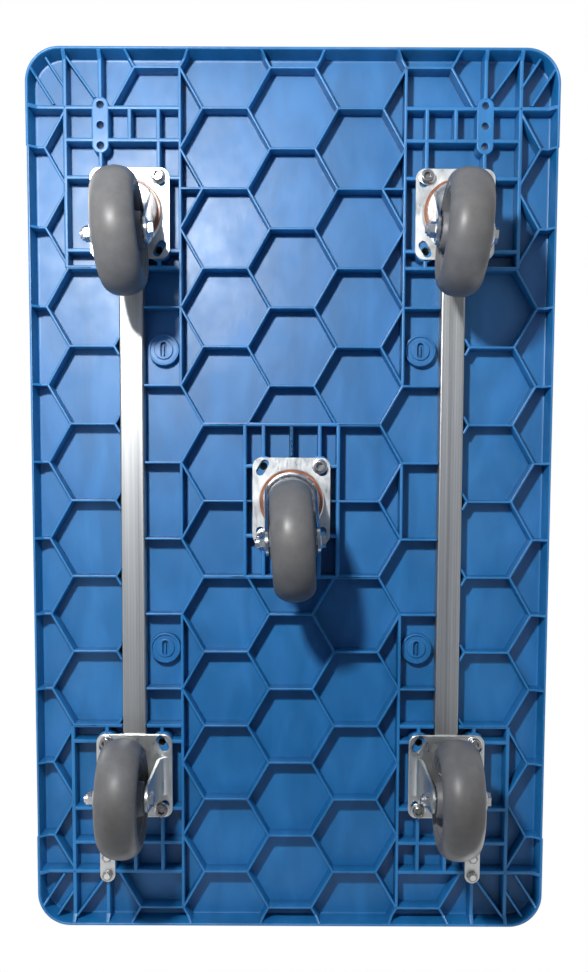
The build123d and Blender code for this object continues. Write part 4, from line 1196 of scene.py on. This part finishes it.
class TRUCK_OT_screws(bpy.types.Operator):
    """Socket-head caster bolts and the handle's nuts, with their real chamfers and sockets"""

    bl_idname = "truck.screws"
    bl_label = "Screws"

    def execute(self, context):
        diagonals = {
            "swivel_left": 1, "swivel_right": -1, "swivel_centre": 1, "rigid_left": -1, "rigid_right": 1}
        places = [(CASTERS[name].x + s * HOLES_ALONG / 2, CASTERS[name].y + s * hand * HOLES_ACROSS / 2,
                   PLATE_Z) for name, hand in diagonals.items() for s in (-1, 1)]
        turns = [0.7 * n for n in range(len(places))]
        copies("socket_screws", self.socket_screw(), places, "bolt_dark", "root", ["caster_bolts"], turns)
        copies("plain_washers", self.washer(), places, "bolt_zinc", "root", ["caster_washers"])
        strap_z = in_mm("strap_right")[0].z
        xs = [-HANDLE_X + n * HANDLE_HOLE_PITCH for n in (-1, 0, 1)]
        places = [(x, s * HANDLE_Y, strap_z) for x in xs for s in (-1, 1)]
        turns = [0.35 + 1.1 * n for n in range(len(places))]
        copies("handle_nuts", self.nut(), places, "bolt_dark", "root", ["bracket_nuts"], turns)
        return {"FINISHED"}

    def socket_screw(self):
        """Head down, with a chamfered rim and a hexagon socket, and its shank."""
        shape = Shape()
        key = circle(0, 0, 8.0 / math.sqrt(3), 6)
        rim = [(1.5, -12.0), (0.9, -11.9), (0.25, -11.3), (0.0, -10.6), (0.0, -2.2), (0.3, -2.0)]
        shape.solid(circle(0, 0, 8.0, 36), rim, [key], [(0.35, -12.0), (0.0, -11.6), (0.0, -2.0)], 0.25)
        shape.solid(circle(0, 0, 7.0, 24), [(0.0, -6.5), (0.0, -2.1)], border=0.5)
        shape.solid(circle(0, 0, 4.98, 24), [(0.0, -2.1), (0.0, 29.0), (0.9, 30.0)], border=0.5)
        return shape

    def washer(self):
        """Flat washer with a rolled rim."""
        shape = Shape()
        profile = [(5.3, -2.0), (9.4, -2.0), (9.9, -1.7), (10.0, -1.2), (10.0, 0.0), (5.3, 0.0)]
        shape.lathe(profile, (0, 0), 36)
        return shape

    def nut(self):
        """Chamfered hexagon nut with the bolt's end in it."""
        shape = Shape()
        shape.solid(circle(0, 0, 7.5, 6), [(1.3, -6.8), (0.0, -6.1), (0.0, -0.4), (0.5, 0.0)], border=0.3)
        shape.lathe([(4.1, -6.4), (4.3, -7.0), (5.0, -7.2), (5.9, -7.0), (6.1, -6.4)], (0, 0), 30)
        return shape


class TRUCK_OT_swivel_heads(bpy.types.Operator):
    """Pressed race cups under the swivel plates, with a thin seal ring round each lip"""

    bl_idname = "truck.swivel_heads"
    bl_label = "Swivel heads"

    def execute(self, context):
        cup = [(37.7, 0.2), (43.4, 0.2), (41.6, -0.7), (40.4, -2.2), (39.9, -7.0), (39.2, -8.5), (37.7, -8.5)]
        ring = [(37.7, -8.7), (40.7, -8.7), (41.5, -9.4), (41.5, -12.6), (40.8, -13.4), (37.7, -13.4)]
        for name in SWIVELS:
            for part, profile, slot in (("race_cup", cup, "zinc_plate"), ("seal_ring", ring, "seal_orange")):
                shape = Shape()
                shape.lathe([(r, PLATE_Z + z) for r, z in profile], CASTERS[f"swivel_{name}"], 64)
                shape.piece(f"swivel_{name}_{part}", slot, "root", [f"swivel_{name}_seal"])
        return {"FINISHED"}


class TRUCK_OT_swivel_forks(bpy.types.Operator):
    """Swivel forks: a domed crown and two flared legs"""

    bl_idname = "truck.swivel_forks"
    bl_label = "Swivel forks"

    def execute(self, context):
        for name in SWIVELS:
            x, y = CASTERS[f"swivel_{name}"]
            shape = Shape()
            fork_crown(shape)
            fork_legs(shape)
            turn = Matrix.Rotation(math.radians(SWIVEL_YAW[name]), 4, "Z")
            shape.move(Matrix.Translation((x, y, 0)) @ turn)
            shape.piece(f"swivel_{name}_pressed_fork", "fork_chrome", f"swivel_{name}",
                        [f"swivel_{name}_fork"])
        return {"FINISHED"}


class TRUCK_OT_tyres(bpy.types.Operator):
    """Moulded tyres with a full round tread and stepped side walls"""

    bl_idname = "truck.tyres"
    bl_label = "Tyres"

    def execute(self, context):
        for name, body, yaw in wheels():
            centre = middle(f"{name}_tyre")
            shape = Shape()
            shape.lathe([(r, y) for y, r in self.profile()], (0, 0), 112, "Y")
            shape.move(Matrix.Translation(centre) @ Matrix.Rotation(math.radians(yaw), 4, "Z"))
            shape.piece(f"{name}_moulded_tyre", "tyre_grey", body, [f"{name}_tyre"], 50.0)
        return {"FINISHED"}

    def profile(self):
        """Half the section, (across, radius), then its mirror."""
        tread = []
        steps = 14
        for n in range(steps + 1):
            a = math.pi / 2 * n / steps
            tread.append((26.0 * math.sin(a) ** 0.94, 57.5 + 17.5 * math.cos(a) ** 1.08))
        side = [(25.9, 56.4), (25.3, 55.5), (24.6, 55.2), (24.2, 54.4), (24.2, 52.6), (23.7, 51.8),
                (22.6, 51.3), (22.4, 50.1)]
        half = tread + side
        return half + [(-y, r) for y, r in reversed(half[1:])]


class TRUCK_OT_hubs(bpy.types.Operator):
    """Moulded hubs: a dished side, six low ribs and a bearing pocket each side"""

    bl_idname = "truck.hubs"
    bl_label = "Hubs"

    RIBS = 6

    def execute(self, context):
        half = [(50.2, 21.4), (49.6, 22.0), (47.0, 22.0), (46.2, 21.4), (45.4, 18.6), (43.6, 15.6),
                (40.0, 13.6), (30.0, 13.0), (26.0, 14.2), (23.4, 17.4), (22.0, 22.0), (21.4, 26.6),
                (20.6, 27.8), (19.8, 28.0), (16.4, 28.0), (16.0, 27.6), (16.0, 18.0), (8.5, 18.0)]
        profile = half + [(r, -y) for r, y in reversed(half)]
        for name, body, yaw in wheels():
            shape = Shape()
            shape.lathe(profile, (0, 0), 72, "Y")
            for hand in (-1, 1):
                for n in range(self.RIBS):
                    self.rib(shape, hand, 2 * math.pi / self.RIBS * n)
            centre = middle(f"{name}_hub")
            shape.move(Matrix.Translation(centre) @ Matrix.Rotation(math.radians(yaw), 4, "Z"))
            shape.piece(f"{name}_moulded_hub", "hub_grey", body, [f"{name}_hub"], 40.0)
        return {"FINISHED"}

    def rib(self, shape, hand, angle):
        """A low rib from the boss out to the rim, with rounded shoulders."""
        way, side = Vector((math.cos(angle), math.sin(angle))), Vector((-math.sin(angle), math.cos(angle)))
        rings = []
        for r, top in ((21.0, 22.5), (26.0, 17.6), (34.0, 16.4), (41.0, 17.2), (46.0, 20.6)):
            section = ((-2.4, 12.0), (-1.8, top - 0.7), (-1.1, top),
                       (1.1, top), (1.8, top - 0.7), (2.4, 12.0))
            rings.append(shape.ring([(way.x * r + side.x * w, hand * y, way.y * r + side.y * w)
                                     for w, y in section]))
        shape.skin(rings)
        shape.cap([rings[0]])
        shape.cap([rings[-1]])


class TRUCK_OT_grip(bpy.types.Operator):
    """Ribbed rubber grip on the handle's cross bar"""

    bl_idname = "truck.grip"
    bl_label = "Handle grip"

    def execute(self, context):
        low, high = in_mm("handle_grip")
        centre, half = (low + high) / 2, (high.y - low.y) / 2
        bore, core, outer = 12.75, 14.4, (high.z - low.z) / 2
        shape = Shape()
        collar = [(bore, 0.0), (outer - 1.2, 0.0), (outer, 1.4), (outer, 7.0), (outer - 0.8, 8.2),
                  (core, 8.6)]
        sleeve = [(r, -half + y) for r, y in collar] + [(r, half - y) for r, y in reversed(collar)]
        shape.lathe(sleeve, (0, 0), 40, "Y")
        shape.move(Matrix.Translation(centre))
        shape.piece("grip_sleeve", "rubber_black", "handle", ["handle_grip"])
        steps = Steps("grip_ribs", {"Radius": core * MM, "Rib": 1.5 * MM, "Sides": 40, "Rib sides": 8})
        path = steps.add("GeometryNodeCurvePrimitiveCircle", {
            "Resolution": steps.given["Sides"], "Radius": steps.given["Radius"]})
        section = steps.add("GeometryNodeCurvePrimitiveCircle", {
            "Resolution": steps.given["Rib sides"], "Radius": steps.given["Rib"]})
        rib = steps.swept(path.outputs[0], section.outputs[0])
        tree = steps.at_places(steps.laid(rib, math.pi / 2, 0.0, 0.0))
        pitch, bare_ends = 5.0, 20.0
        count = int((2 * half - bare_ends) / pitch)
        places = [(centre.x, (n - (count - 1) / 2) * pitch, centre.z) for n in range(count)]
        grown("grip_ribs", places, {}, tree, "rubber_black", "handle", ["handle_grip"])
        return {"FINISHED"}


class TRUCK_PT_panel(bpy.types.Panel):
    """Lists the truck's operators"""

    bl_label = "Platform truck"
    bl_idname = "TRUCK_PT_panel"
    bl_space_type = "VIEW_3D"
    bl_region_type = "UI"
    bl_category = "Platform truck"

    def draw(self, context):
        for operator in OPERATORS:
            self.layout.operator(operator.bl_idname)
        for label in ("deck_colour", "tyre_colour", "stud_pitch"):
            self.layout.prop(context.scene.truck_looks, label)


OPERATORS = (TRUCK_OT_stage, TRUCK_OT_finish_cad, TRUCK_OT_deck_shell, TRUCK_OT_deck_webs,
             TRUCK_OT_deck_bosses, TRUCK_OT_deck_studs, TRUCK_OT_rigid_brackets, TRUCK_OT_screws,
             TRUCK_OT_swivel_heads, TRUCK_OT_swivel_forks, TRUCK_OT_tyres, TRUCK_OT_hubs, TRUCK_OT_grip)
CLASSES = (TruckLooks, TruckStudio, *OPERATORS, TRUCK_PT_panel)


def register():
    for cls in CLASSES:
        bpy.utils.register_class(cls)
    bpy.types.Scene.truck_looks = PointerProperty(type=TruckLooks)
    bpy.types.Scene.truck_studio = PointerProperty(type=TruckStudio)


def unregister():
    del bpy.types.Scene.truck_studio
    del bpy.types.Scene.truck_looks
    for cls in reversed(CLASSES):
        bpy.utils.unregister_class(cls)


def main():
    register()
    for operator in OPERATORS:
        group, name = operator.bl_idname.split(".")
        getattr(getattr(bpy.ops, group), name)()


if __name__ == "__main__":
    main()
